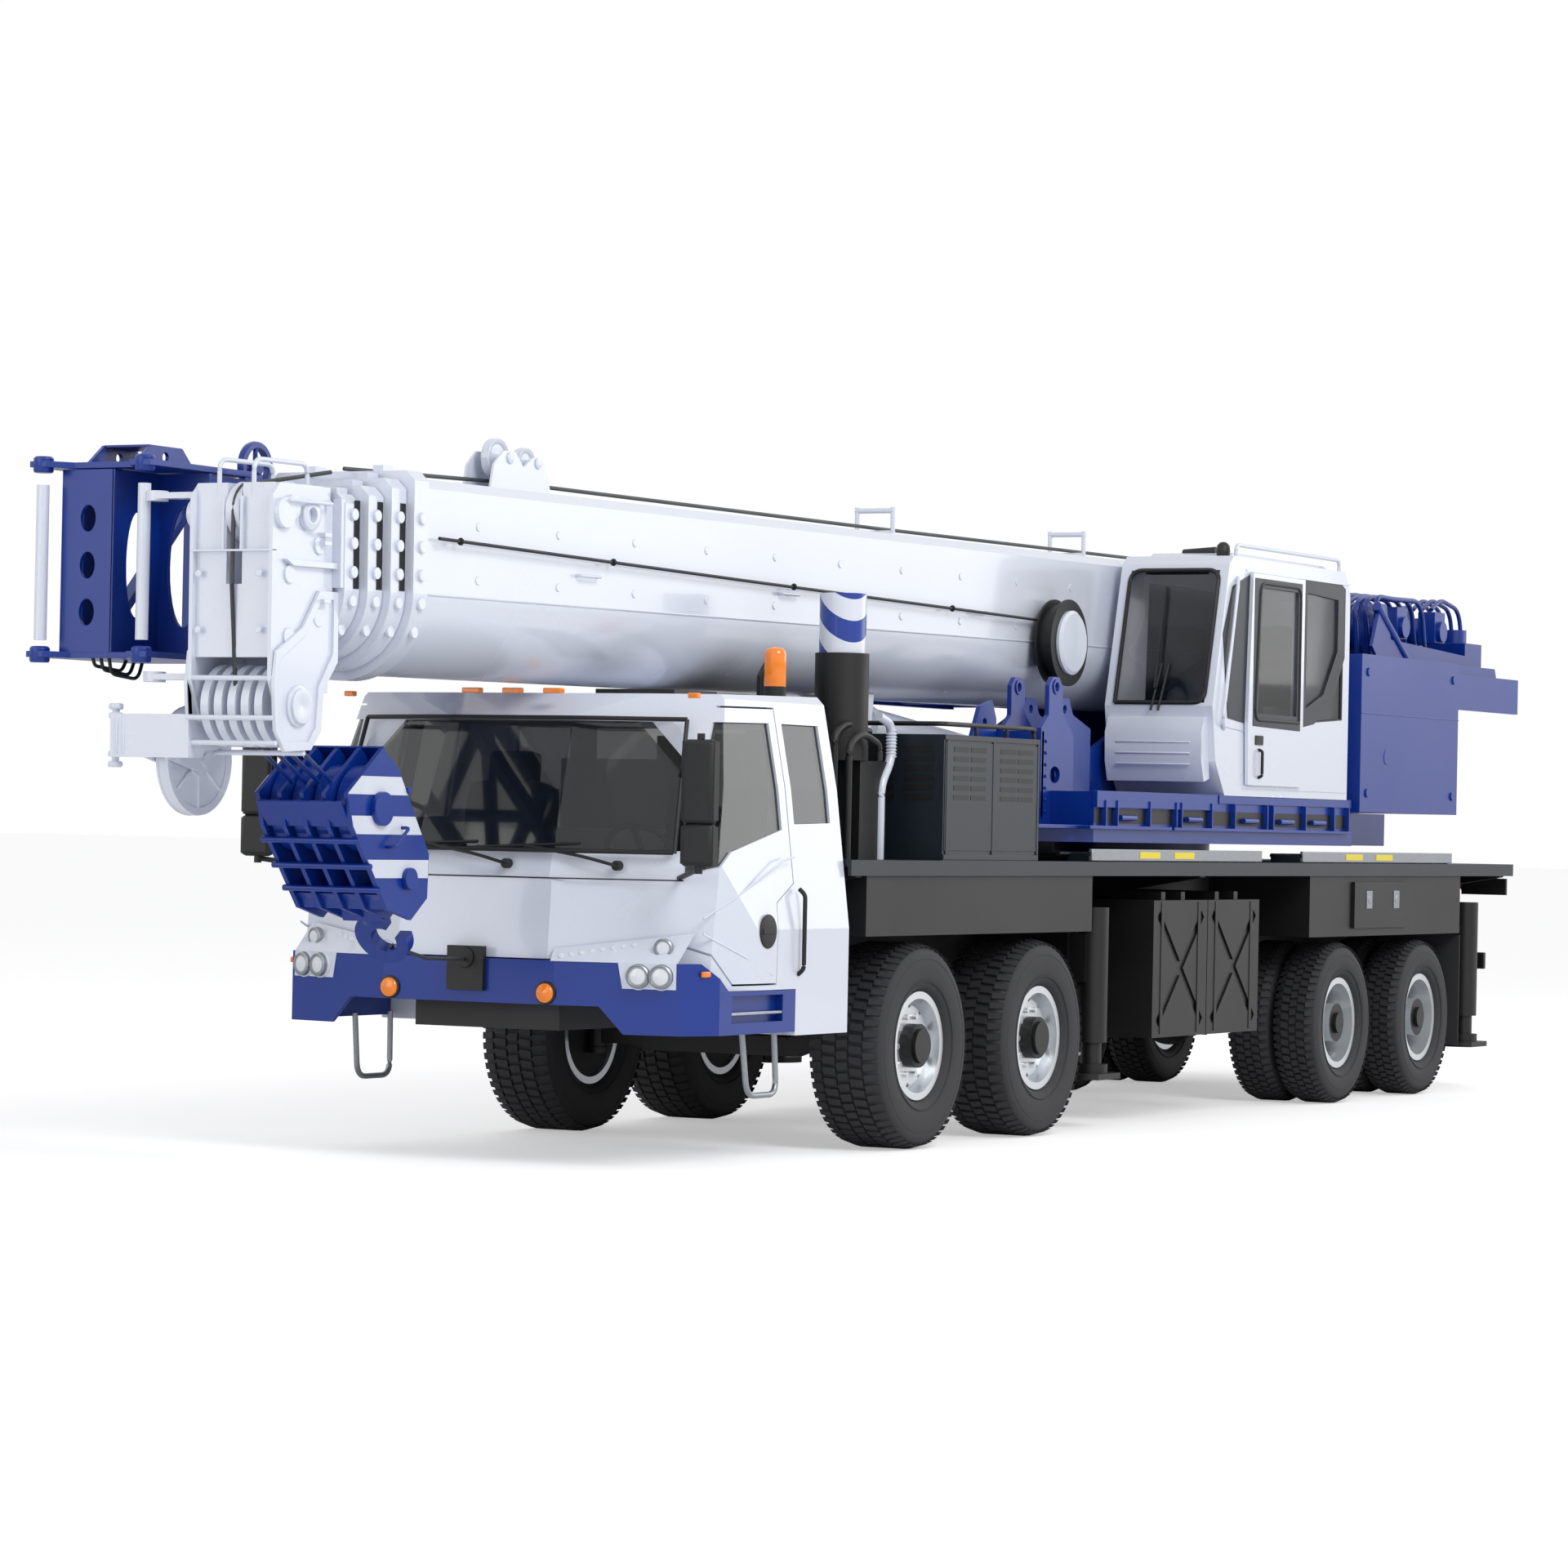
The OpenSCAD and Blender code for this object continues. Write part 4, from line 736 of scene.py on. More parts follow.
def make_cab_front():
    wipers = Shape()
    for y, reach in ((0.78, -0.5), (0.18, -0.5), (-0.42, -0.5)):
        base = at(front_x(y, 1.56) + 0.03, y, 1.56)
        tip = at(front_x(y + reach, 1.66) + 0.02, y + reach, 1.655)
        wipers.tube(arc_path([base, base.lerp(tip, 0.35) + Vector((0.02, 0, 0.012)), tip]), 0.009)
        wipers.disc(at(front_x(y, 1.56) - 0.005, y, 1.56), X, 0.026, 0.04)
        blade = [at(front_x(y + reach + s, 1.66 + s * 0.05) + 0.006, y + reach + s, 1.655 + s * 0.05)
                 for s in (-0.3, -0.1, 0.1, 0.3)]
        wipers.tube(blade, 0.010, 6)
    wipers.build("windscreen_wipers", "carrier", "black_plastic")

    gasket = Shape()
    for z, half in ((1.632, 1.04), (2.322, 0.985)):
        line = [at(front_x(y, z) + 0.004, y, z) for y in np.linspace(-half, half, 15)]
        gasket.tube(line, 0.012, 8)
    for side in (-1, 1):
        line = [at(front_x(1.05 - 0.07 * t, 1.63 + 0.69 * t) + 0.004, side * (1.045 - 0.06 * t),
                   1.63 + 0.69 * t)
                for t in np.linspace(0, 1, 6)]
        gasket.tube(line, 0.012, 8)
    gasket.build("windscreen_gasket", "carrier", "black_plastic")

    seam = Shape()
    seam.tube([at(front_x(y, 1.49) + 0.001, y, 1.49) for y in np.linspace(-1.1, 1.1, 21)], 0.004, 6)
    seam.build("front_panel_seam", "carrier", "black_plastic")

    lamps = Shape()
    for side in (-1, 1):
        # White lamp housings above the bumper's corner, with round lamps and a row of small ones
        for y, z, r in ((0.97, 1.0, 0.062), (1.09, 1.0, 0.062), (1.06, 1.145, 0.05)):
            x = lamp_panel(y, z)
            lamps.paint = 1
            lamps.lathe([(r, 0), (r, 0.03), (r - 0.008, 0.036), (r - 0.012, 0.03)], at(x, side * y, z),
                        (1, side * 0.3, 0))
            lamps.paint = 0
            lamps.lathe([(r - 0.010, 0.0), (r - 0.012, 0.026), (0.03, 0.035), (0.001, 0.038)],
                        at(x, side * y, z),
                        (1, side * 0.3, 0))
        for k in range(8):
            y = 0.55 + 0.05 * k
            z = 1.092 + 0.009 * k
            lamps.disc(at(lamp_panel(y, z) - 0.004, side * y, z), (1, side * 0.3, 0.4), 0.014, 0.012, 16)
    lamps.build("head_lamps", "carrier", "lamp_lens", [clear_lens(), galvanised_steel()])

    housing = Shape()
    columns = [0.50, 0.62, 0.74, 0.86, 0.885, 0.96, 1.03, 1.10, 1.165]
    for side in (-1, 1):
        grid = []
        for y in columns:
            low = 0.935 if y > 0.88 else 1.066
            top = lamp_panel_top(y)
            grid.append([at(lamp_panel(y, z), side * y, z) for z in (low, 1.069, top)])
        for a, b in zip(grid, grid[1:]):
            for k in (0, 1):
                housing.prism([a[k], b[k], b[k + 1], a[k + 1]], (-0.02, 0, 0))
        for y, z in ((0.97, 1.0), (1.09, 1.0)):
            housing.lathe([(0.070, 0.0), (0.070, 0.012), (0.064, 0.014), (0.064, 0.0)],
                          at(bumper_face(y), side * y, z),
                          (1, side * 0.3, 0), 32, capped=False)
    housing.build("lamp_housings", "carrier", "white_paint")

    amber = Shape()
    for y in (-0.25, 0.0, 0.25):
        amber.slab((2.33, 2.375), y, 0.055, (2.449, 2.478))
    for side in (-1, 1):
        amber.slab((2.27, 2.31), side * 1.06, 0.03, (2.43, 2.458))
        amber.lathe([(0.05, 0), (0.05, 0.02), (0.03, 0.03), (0.001, 0.033)],
                    at(2.742, side * 0.475, 0.90), X)
        amber.slab((2.43, 2.5), side * 1.26, 0.012, (1.0, 1.03))
    amber.build("amber_markers", "carrier", "lamp_lens", [amber_lens()], bevel=0.006)

    tow = Shape()
    tow.box((2.738, -0.11, 0.90), (2.772, 0.11, 1.13))
    tow.disc(at(2.772, 0, 1.07), X, 0.055, 0.012)
    for side in (-1, 1):
        tow.lathe([(0.06, 0), (0.06, 0.012), (0.045, 0.014)], at(2.738, side * 0.475, 0.90), X)
    tow.build("tow_coupling", "carrier", "black_steel", bevel=0.008)


def make_cab_sides():
    black = Shape()
    steel = Shape()
    glass = Shape()
    for side in (-1, 1):
        body = "door_left" if side > 0 else "door_right"
        handle = Shape()
        handle.lathe([(0.09, 0), (0.088, 0.008), (0.07, 0.012), (0.001, 0.012)],
                     at(1.88, side * 1.2945, 1.23), (0, side, 0))
        handle.slab((1.83, 1.95), side * 1.303, 0.008, (1.215, 1.245))
        handle.build(f"door_handle_{body}", body, "black_plastic", bevel=0.003)
        trim = Shape()
        for line in ([(2.46, 1.30), (2.2, 1.40), (1.72, 1.60), (1.60, 1.62)],
                     [(2.46, 1.22), (2.1, 1.10), (1.82, 1.00)]):
            trim.tube([at(x, side * (1.2925 - max(0, x - 2.0) * 0.1228), z) for x, z in line], 0.006, 6)
        trim.build(f"door_crease_{body}", body, "white_paint")
        # Stirrup step below the bumper
        steel.bent([(1.62, side * 1.2, 0.72), (1.60, side * 1.21, 0.37), (1.92, side * 1.21, 0.37),
                    (1.97, side * 1.2, 0.72)], 0.016)
        black.slab((1.70, 2.25), side * 1.28, 0.012, (0.80, 0.815))
        glass.slab((2.686, 2.6895), side * 1.345, 0.08, (1.82, 2.18))
        glass.slab((2.686, 2.6895), side * 1.345, 0.08, (1.60, 1.755))
        shell = Shape()
        for z0, z1 in ((1.78, 2.21), (1.565, 1.785)):
            shell.slab((2.688, 2.752), side * 1.345, 0.094, (z0, z1))
        shell.build(f"mirror_shells_{body}", "carrier", "black_plastic", bevel=0.025)
        grab = Shape()
        grab.bent([(1.54, side * 1.295, 1.0), (1.54, side * 1.33, 1.03), (1.54, side * 1.33, 1.42),
                   (1.54, side * 1.295, 1.45)], 0.012, 0.03)
        grab.build(f"grab_rail_{body}", "carrier", "black_plastic")
    steel.build("stirrup_steps", "carrier", "alloy")
    black.build("step_strips", "carrier", "alloy", [grip_plate()], bevel=0.003)
    glass.build("mirror_glass", "carrier", "tinted_glass", [mirror_glass()])
    beacon = Shape()
    centre = at(1.13, 0.9, 2.475)
    beacon.lathe([(0.058, 0.0), (0.06, 0.02), (0.06, 0.06)], centre, Z)
    beacon.box((1.62, 0.34, 2.452), (2.08, 0.82, 2.484))
    beacon.build("beacon_base", "carrier", "black_plastic", bevel=0.004)
    low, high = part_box("lamps")
    dome = Shape()
    top = high.z - centre.z
    dome.lathe([(0.0565, 0.05), (0.060, 0.055), (0.060, top - 0.015), (0.0575, top + 0.003),
                (0.045, top + 0.018),
                (0.02, top + 0.026), (0.001, top + 0.028)], centre, Z, 40)
    dome.build("beacon_dome", "carrier", "lamp_lens", [amber_lens()])


# Deck and what hangs below it
def make_deck_fittings():
    film = Shape()
    rails = Shape()
    for x0, x1 in ((-8.19, -5.44), (-4.75, -2.15)):
        for side in (-1, 1):
            rails.slab((x0, x1), side * 1.272, 0.012, (DECK_TOP + 0.004, DECK_TOP + 0.075))
            for share in (0.42, 0.62):
                x = x0 + (x1 - x0) * share
                film.slab((x, x + 0.3), side * 1.285, 0.002, (DECK_TOP + 0.02, DECK_TOP + 0.06))
    rails.build("edge_ladders", "carrier", "alloy", bevel=0.004)
    film.build("edge_reflectors", "carrier", "lamp_lens", [yellow_film()])

    pipes = Shape()
    pipes.tube(arc_path([at(0.10, 1.02, DECK_TOP), at(0.10, 1.02, 2.02), at(-0.02, 1.02, 2.16),
                         at(-0.02, 1.02, 2.36),
                         at(0.14, 1.02, 2.40)], radius=0.07), 0.026, 14)
    for k in range(9):
        pipes.lathe([(0.026, -0.008), (0.033, 0.0), (0.026, 0.008)], at(-0.02, 1.02, 2.18 + 0.018 * k), Z,
                    16)
    pipes.build("air_pipes", "carrier", "white_paint")
    hoses = Shape()
    for dy, top in ((0.0, 2.30), (0.09, 2.24)):
        hoses.bent([(0.62, 1.0 + dy, DECK_TOP), (0.62, 1.0 + dy, top), (0.46, 1.0 + dy, top + 0.06),
                    (0.30, 1.02 + dy, top), (0.30, 1.02 + dy, 2.15)], 0.02, 0.07)
    hoses.build("breather_hoses", "carrier", "black_plastic")

    latches = Shape()
    for side in (-1, 1):
        for x in (-7.1, -6.6):
            latches.slab((x - 0.05, x + 0.05), side * 1.294, 0.004, (1.30, 1.42))
            latches.disc(at(x, side * 1.293, 1.36), (0, side, 0), 0.028, 0.008)
    latches.build("locker_latches", "carrier", "alloy", bevel=0.003)

    straps = Shape()
    for x in (-3.46, -4.29):
        for dx in (-0.28, 0.28):
            straps.box((x + dx - 0.02, 1.287, 0.55), (x + dx + 0.02, 1.2945, 1.36))
    straps.build("tank_straps", "carrier", "alloy", [black_enamel()], bevel=0.002)

    tail = Shape()
    for side in (-1, 1):
        for y in (0.92, 1.02, 1.12):
            tail.disc(at(-9.451, side * y, 1.44), (-1, 0, 0), 0.045, 0.01)
    tail.build("tail_lamp_lenses", "carrier", "lamp_lens", [red_lens()])

    drive = Shape()
    drive.tube([at(-0.9, 0, 1.0), at(-5.96, 0, 0.62)], 0.06, 16)
    drive.tube([at(-6.5, 0, 0.56), at(-7.45, 0, 0.56)], 0.05, 16)
    for x in (-2.5, -3.35):
        drive.lathe([(0.14, 0), (0.16, 0.03), (0.16, 0.7), (0.14, 0.73)], at(x, -0.62, 0.95), (-1, 0, 0))
    drive.build("drive_shafts", "carrier", "black_steel")


# Boom
def make_boom_fittings():
    seams = Shape()
    for side in (-1, 1):
        seams.tube([on_boom(0.5, side * (BOOM_HALF + 0.001), BOOM_ROUND),
                    on_boom(10.75, side * (BOOM_HALF + 0.001), BOOM_ROUND)],
                   0.006, 6)
        for w in (0.25, -0.02):
            for k in range(13):
                seams.disc(on_boom(0.9 + 0.78 * k, side * BOOM_HALF, w), (0, side, 0), 0.022, 0.006, 14)
        for u in (2.2, 4.6, 7.0, 9.2):
            seams.bent([(u - 0.1, side * BOOM_HALF, 0.05), (u - 0.1, side * (BOOM_HALF + 0.035), 0.05),
                        (u + 0.1, side * (BOOM_HALF + 0.035), 0.05), (u + 0.1, side * BOOM_HALF, 0.05)],
                       0.008, 0.03, place=on_boom)
    seams.build("boom_seams", "boom_1", "white_paint")

    cord = Shape()
    cord.tube([on_boom(3.6, BOOM_HALF + 0.05, 0.02), on_boom(7.5, BOOM_HALF + 0.045, 0.10),
               on_boom(10.7, BOOM_HALF + 0.05, 0.17)], 0.009)
    for u in (5.0, 7.0, 9.0, 10.5):
        cord.lathe([(0.016, -0.01), (0.02, 0), (0.016, 0.01)],
                   on_boom(u, BOOM_HALF + 0.048, 0.02 + (u - 3.6) * 0.021),
                   X, 16)
    cord.build("length_cable", "boom_1", "black_plastic")

    reel = Shape()
    centre = on_boom(3.6, BOOM_HALF, -0.11)
    reel.paint = 1
    reel.lathe([(0.12, 0.0), (0.12, 0.05), (0.27, 0.055), (0.27, 0.07), (0.14, 0.075)], centre, Y, 48)
    reel.lathe([(0.14, 0.15), (0.27, 0.155), (0.27, 0.168), (0.2, 0.172)], centre, Y, 48)
    reel.lathe([(0.235, 0.07), (0.235, 0.155)], centre, Y, 48)
    reel.paint = 0
    reel.lathe([(0.20, 0.168), (0.20, 0.19), (0.18, 0.205), (0.001, 0.21)], centre, Y, 48)
    reel.build("cable_reel", "boom_1", "white_paint", [white_enamel(), moulded_plastic()], smooth=30)

    # Rope stand: flanges and hubs of its sheaves, its base strips and their bolts
    top = Shape()
    for u, rise, radius in ((9.47, 0.190, 0.105), (9.19, 0.180, 0.085)):
        for side in (-1, 1):
            top.lathe([(radius - 0.03, 0.0), (radius - 0.02, 0.009), (radius - 0.002, 0.011),
                       (radius - 0.001, 0.0)],
                      on_boom(u, side * 0.0145, BOOM_TOP + rise), (0, side, 0), 40, capped=False)
            top.lathe([(0.03, 0.0), (0.03, 0.008), (0.02, 0.012), (0.001, 0.012)],
                      on_boom(u, side * 0.089, BOOM_TOP + rise), (0, side, 0), 20)
    for side in (-1, 1):
        top.slab((9.03, 9.67), side * 0.105, 0.03, (BOOM_TOP, BOOM_TOP + 0.012), on_boom)
        for k in range(5):
            top.disc(on_boom(9.08 + 0.13 * k, side * 0.115, BOOM_TOP + 0.012), Z, 0.012, 0.008, 8)
    top.build("rope_stand_fittings", "boom_1", "white_paint", bevel=0.002)

    rope = Shape()
    rope.tube([on_boom(0.35, 0.03, BOOM_TOP + 0.057), on_boom(2.45, 0.02, BOOM_TOP + 0.058),
               on_boom(5.16, 0.01, BOOM_TOP + 0.058), on_boom(9.33, 0.0, BOOM_TOP + 0.072),
               on_boom(10.88, 0.0, BOOM_TOP + 0.045)], 0.011)
    rope.build("hoist_rope_on_boom", "boom_1", "bright_steel")

    # Stiffening ribs and stop plates on each collar, and thin black strips of painted shade in the gaps
    # between collars
    for n in range(4):
        ribs = Shape()
        grow = n * SECTION_STEP
        u = COLLAR + n * COLLAR_PITCH
        for side in (-1, 1):
            for k in range(5):
                w = -0.30 + k * 0.14
                wide = (BOOM_HALF + 0.03 - grow) if w > BOOM_ROUND else math.sqrt(
                    max(0.01, (BOOM_HALF + 0.03 - grow) ** 2 - (w - BOOM_ROUND) ** 2))
                ribs.disc(on_boom(u - 0.065, side * (wide - 0.002), w), (0, side, 0), 0.03, 0.02, 14)
            ribs.slab((u - 0.11, u - 0.02), side * 0.2, 0.03,
                      (BOOM_TOP - grow + 0.02, BOOM_TOP - grow + 0.06), on_boom)
        # Thin black strips on the sides between each inner collar and the one before it: painted shade,
        # standing in for the shadow in the gap between the collars
        ribs.paint = 1
        if n:
            wide = BOOM_HALF + 0.03 - grow
            for side in (-1, 1):
                ribs.slab((u - 0.125, u - 0.075), side * (wide + 0.001), 0.0015, (-0.10, 0.33), on_boom)
        ribs.build(f"collar_{n + 1}_bosses", f"boom_{n + 1}", "white_paint",
                   [white_enamel(), moulded_plastic()], bevel=0.001)


def make_head_fittings():
    rope = Shape()
    face = HEAD_END - 0.012
    sheave = (HEAD_END - 0.16, 0.25)
    over = [on_boom(sheave[0] + 0.142 * math.cos(a), 0.0, sheave[1] + 0.142 * math.sin(a))
            for a in np.linspace(math.radians(100), 0, 9)]
    rope.tube([on_boom(11.0, 0.0, BOOM_TOP + 0.02)] + over + [on_boom(face, 0.0, -0.1),
                                                              on_boom(face - 0.02, 0.01, -0.5),
               on_boom(HEAD_END - 0.06, 0.0, -0.62)], 0.011)
    rope.build("hoist_rope_at_head", "boom_5", "bright_steel")

    detail = Shape()
    for side in (-1, 1):
        detail.disc(on_boom(HEAD_END - 0.08, side * HEAD_HALF, 0.24), (0, side, 0), 0.075, 0.03)
        for u, w in ((11.45, 0.1), (11.45, -0.25), (11.7, -0.05), (11.7, -0.35), (11.62, -0.68)):
            detail.disc(on_boom(u, side * HEAD_HALF, w), (0, side, 0), 0.045, 0.012)
        detail.bent([(11.4, side * HEAD_HALF, 0.30), (11.4, side * 0.29, 0.30),
                     (11.75, side * 0.29, 0.30), (11.75, side * HEAD_HALF, 0.30)], 0.009, 0.03,
                    place=on_boom)
    for y in (-0.1, 0.1):
        detail.bent([(11.35, y, 0.38), (11.35, y, 0.5), (11.8, y, 0.5), (11.8, y, 0.32)], 0.012, 0.06,
                    place=on_boom)
    detail.build("head_bosses", "boom_5", "white_paint")


# Hook block
def clip_level(points, level, keep):
    """Cuts an outline of points at a height, and keeps what is above it (1) or below it (-1)."""
    out = []
    for k, p in enumerate(points):
        q = points[k - 1]
        if (p.z - level) * keep >= 0:
            if (q.z - level) * keep < 0:
                out.append(q.lerp(p, (level - q.z) / (p.z - q.z)))
            out.append(p)
        elif (q.z - level) * keep >= 0:
            out.append(q.lerp(p, (level - q.z) / (p.z - q.z)))
    return out


def make_hook_fittings():
    foot = at(3.640, 0, 1.330)
    top = at(4.150, 0, 2.010)
    down = (foot - top).normalized()
    out = Vector((-down.z, 0, down.x))
    bands = Shape()
    outline = [top + down * a + out * o for a, o in ((0.0, -0.185), (0.0, 0.185), (0.16, 0.243),
                                                     (0.675, 0.223),
                                                     (0.845, 0.088), (0.845, -0.088), (0.675, -0.223),
                                                     (0.16, -0.243))]
    for low, high in ((1.895, 1.985), (1.70, 1.79), (1.485, 1.575)):
        band = clip_level(clip_level(outline, low, 1), high, -1)
        for side in (-1, 1):
            bands.prism([p + Vector((0, side * 0.2722, 0)) for p in band], (0, side * 0.003, 0))
    bands.build("block_bands", "block", "white_paint")
    covers = Shape()
    for a0, a1, o0, o1 in ((0.02, 0.17, 0.222, 0.236), (0.60, 0.70, 0.19, 0.205),
                           (0.02, 0.15, -0.236, -0.222)):
        base = [top + down * a + out * o + Vector((0, -0.247, 0)) for a,
                o in ((a0, o0), (a1, o0), (a1, o1), (a0, o1))]
        covers.prism(base, (0, 0.494, 0))
    for side in (-1, 1):
        for a, r in ((0.23, 0.085), (0.66, 0.055)):
            covers.disc(top + down * a + Vector((0, side * 0.2725, 0)), (0, side, 0), r, 0.03)
        covers.tube(arc_path([top + down * 0.42 + out * -0.1 + Vector((0, side * 0.274, 0)),
                              top + down * 0.42 + out * -0.1 + Vector((0, side * 0.32, 0)),
                              top + down * 0.42 + out * 0.06 + Vector((0, side * 0.32, 0)),
                              top + down * 0.42 + out * 0.06 + Vector((0, side * 0.274, 0))],
                             radius=0.03), 0.009)
    for a, o in ((0.24, 0.255), (0.40, 0.25), (0.55, 0.24), (0.30, -0.25)):
        covers.tube([top + down * a + out * o + Vector((0, -0.29, 0)),
                     top + down * a + out * o + Vector((0, 0.29, 0))],
                    0.016, 12)
    for y in (-0.195, -0.065, 0.065, 0.195):
        base = [top + down * a + out * o + Vector((0, y - 0.052, 0)) for a, o in
                ((0.60, 0.10), (0.60, 0.215), (0.70, 0.19), (0.80, 0.09), (0.80, 0.02))]
        covers.prism(base, (0, 0.104, 0))
    covers.build("block_covers", "block", "blue_paint", bevel=0.003)
    sling = Shape()
    hook_seat = foot + down * 0.24 + Vector((0, 0.012, 0))
    ring = at(2.79, 0, 1.06)
    sling.tube([hook_seat, hook_seat.lerp(ring, 0.5) - Vector((0, 0, 0.03)), ring], 0.010)
    sling.build("tie_back_sling", "swivel_hook", "bright_steel")


# Superstructure
def make_upper_fittings():
    rails = Shape()
    rails.bent([(-4.45, 1.19, 3.54), (-4.45, 1.19, 3.63), (-6.2, 1.19, 3.63), (-6.2, 1.19, 3.54)], 0.013)
    rails.bent([(-4.24, 1.22, 2.45), (-4.16, 1.245, 2.5), (-4.36, 1.245, 3.35), (-4.42, 1.22, 3.42)], 0.012)
    rails.build("operator_cab_rails", "upper", "white_paint")

    wiper = Shape()
    for dy in (0.0, 0.05):
        wiper.tube([at(-4.035, 0.80 + dy, 2.56), at(-4.13, 0.83 + dy, 2.86)], 0.008)
    wiper.tube([at(-4.06, 0.815, 2.70), at(-4.25, 0.80, 3.35)], 0.012, 6)
    wiper.build("operator_wiper", "upper", "black_plastic")

    trim = Shape()
    outline = [(-5.40, 2.52), (-4.66, 2.52), (-4.72, 3.40), (-5.40, 3.40)]
    path = [at(x, 1.2485, z) for x, z in outline + outline[:1]]
    trim.tube(arc_path(path, radius=0.08), 0.012, 8)
    trim.build("operator_door_gasket", "cab_slide", "black_plastic")
    fixed = Shape()
    outline = [(-6.24, 2.56), (-5.56, 2.52), (-5.56, 3.40), (-6.24, 3.40), (-6.24, 2.56)]
    fixed.tube(arc_path([at(x, 1.202, z) for x, z in outline]), 0.012, 8)
    front = [at(-4.055 - (z - 2.59) * 0.2527, y, z) for y, z in
             ((0.54, 2.61), (1.155, 2.61), (1.155, 3.46), (0.54, 3.46), (0.54, 2.61))]
    fixed.tube(arc_path(front, radius=0.08), 0.014, 8)
    fixed.build("operator_cab_gaskets", "upper", "black_plastic")

    lamp = Shape()
    lamp.lathe([(0.04, 0), (0.045, 0.03), (0.04, 0.07), (0.02, 0.09), (0.001, 0.093)],
               at(-4.45, 1.1, 3.556), Z)
    lamp.build("roof_lamp", "upper", "black_plastic")

    drums = Shape()
    for x in DRUMS:
        for k in range(24):
            y = -0.255 + 0.022 * k
            drums.lathe([(0.15, -0.010), (0.172, 0.0), (0.15, 0.010)], at(x, y, DRUM_Z), Y, 40)
    drums.build("drum_rope", "upper", "bright_steel")

    hoses = Shape()
    for k in range(4):
        y = 0.42 + 0.03 * k
        hoses.bent([(-7.45, y, 3.0), (-7.55, y, 3.35), (-7.75, y, 3.42), (-7.9, 0.36, 3.26)], 0.014, 0.12)
    hoses.build("winch_hoses", "upper", "black_plastic")


def make_jib_end():
    blue = Shape()
    outline = [(-1.10, 2.56), (-0.80, 2.56), (-0.80, 3.46), (-1.10, 3.46)]
    holes = [oval(-0.95, z, 0.045, 0.065) for z in (3.22, 2.99, 2.76)]
    blue.wall(4.80, outline, holes, -0.02)
    outline = [(-0.80, 2.56), (-0.50, 2.56), (-0.50, 3.46), (-0.80, 3.46)]
    holes = [oval(-0.645, 3.0, 0.095, 0.30)]
    blue.wall(4.42, outline, holes, -0.02)
    side = [(4.40, 2.56), (4.80, 2.56), (4.80, 3.46), (4.40, 3.46)]
    blue.plate(side, -1.11, -1.095, holes=[oval(4.6, z, 0.07, 0.10) for z in (3.22, 2.80)])
    blue.plate(side, -0.81, -0.795, holes=[oval(4.6, 3.0, 0.09, 0.26)])
    for z in (2.535, 3.465):
        outline = [(4.06, -1.20), (4.92, -1.22), (4.92, -1.12), (4.80, -1.04), (4.80, -0.68), (4.92, -0.62),
                   (4.92, -0.50), (4.06, -0.50)]
        blue.pierced([at(x, y, z) for x, y in outline], [], (0, 0, 0.03))
        for y in (-1.17, -0.56):
            blue.lathe([(0.045, 0), (0.05, 0.01), (0.05, 0.07), (0.04, 0.08)], at(4.875, y, z - 0.025), Z)
    for y in (-1.0, -0.9):
        blue.slab((4.60, 4.78), y, 0.008, (2.565, 3.46))
    ridge = [(4.25, 3.49), (4.75, 3.49), (4.62, 3.59), (4.36, 3.59)]
    for y in (-1.0, -0.72):
        blue.plate(ridge, y - 0.01, y + 0.01, holes=[oval(4.5, 3.535, 0.025, 0.025, 16)])
    blue.prism([at(x, -0.99, z) for x, z in ridge[2:] + [(4.36, 3.58), (4.62, 3.58)]], (0, 0.26, 0))
    blue.lathe([(0.13, -0.02), (0.135, 0.0), (0.13, 0.02), (0.10, 0.02), (0.10, -0.02), (0.13, -0.02)],
               at(3.86, -0.62, 3.53), Y, 36, capped=False)
    for k in range(5):
        a = 2 * math.pi * k / 5 + 0.3
        blue.tube([at(3.86, -0.62, 3.53), at(3.86 + 0.105 * math.cos(a), -0.62,
                                             3.53 + 0.105 * math.sin(a))], 0.013, 8)
    blue.disc(at(3.86, -0.65, 3.53), Y, 0.035, 0.06)
    blue.box((3.82, -0.64, 3.44), (3.90, -0.60, 3.50))
    blue.build("jib_foot_frame", "boom_1", "blue_paint", bevel=0.003)

    white = Shape()
    for y in (-1.17, -0.56):
        white.lathe([(0.032, 0.0), (0.032, 0.76)], at(4.875, y, 2.62), Z, 24)
    white.build("jib_foot_pins", "boom_1", "white_paint")

    hoses = Shape()
    for k in range(3):
        y = -0.95 + 0.05 * k
        hoses.bent([(4.74, y, 2.54), (4.72, y, 2.50 - 0.02 * k), (4.50, y, 2.48 - 0.02 * k),
                    (4.46, y, 2.54)], 0.009)
    hoses.build("jib_foot_hoses", "boom_1", "black_plastic")


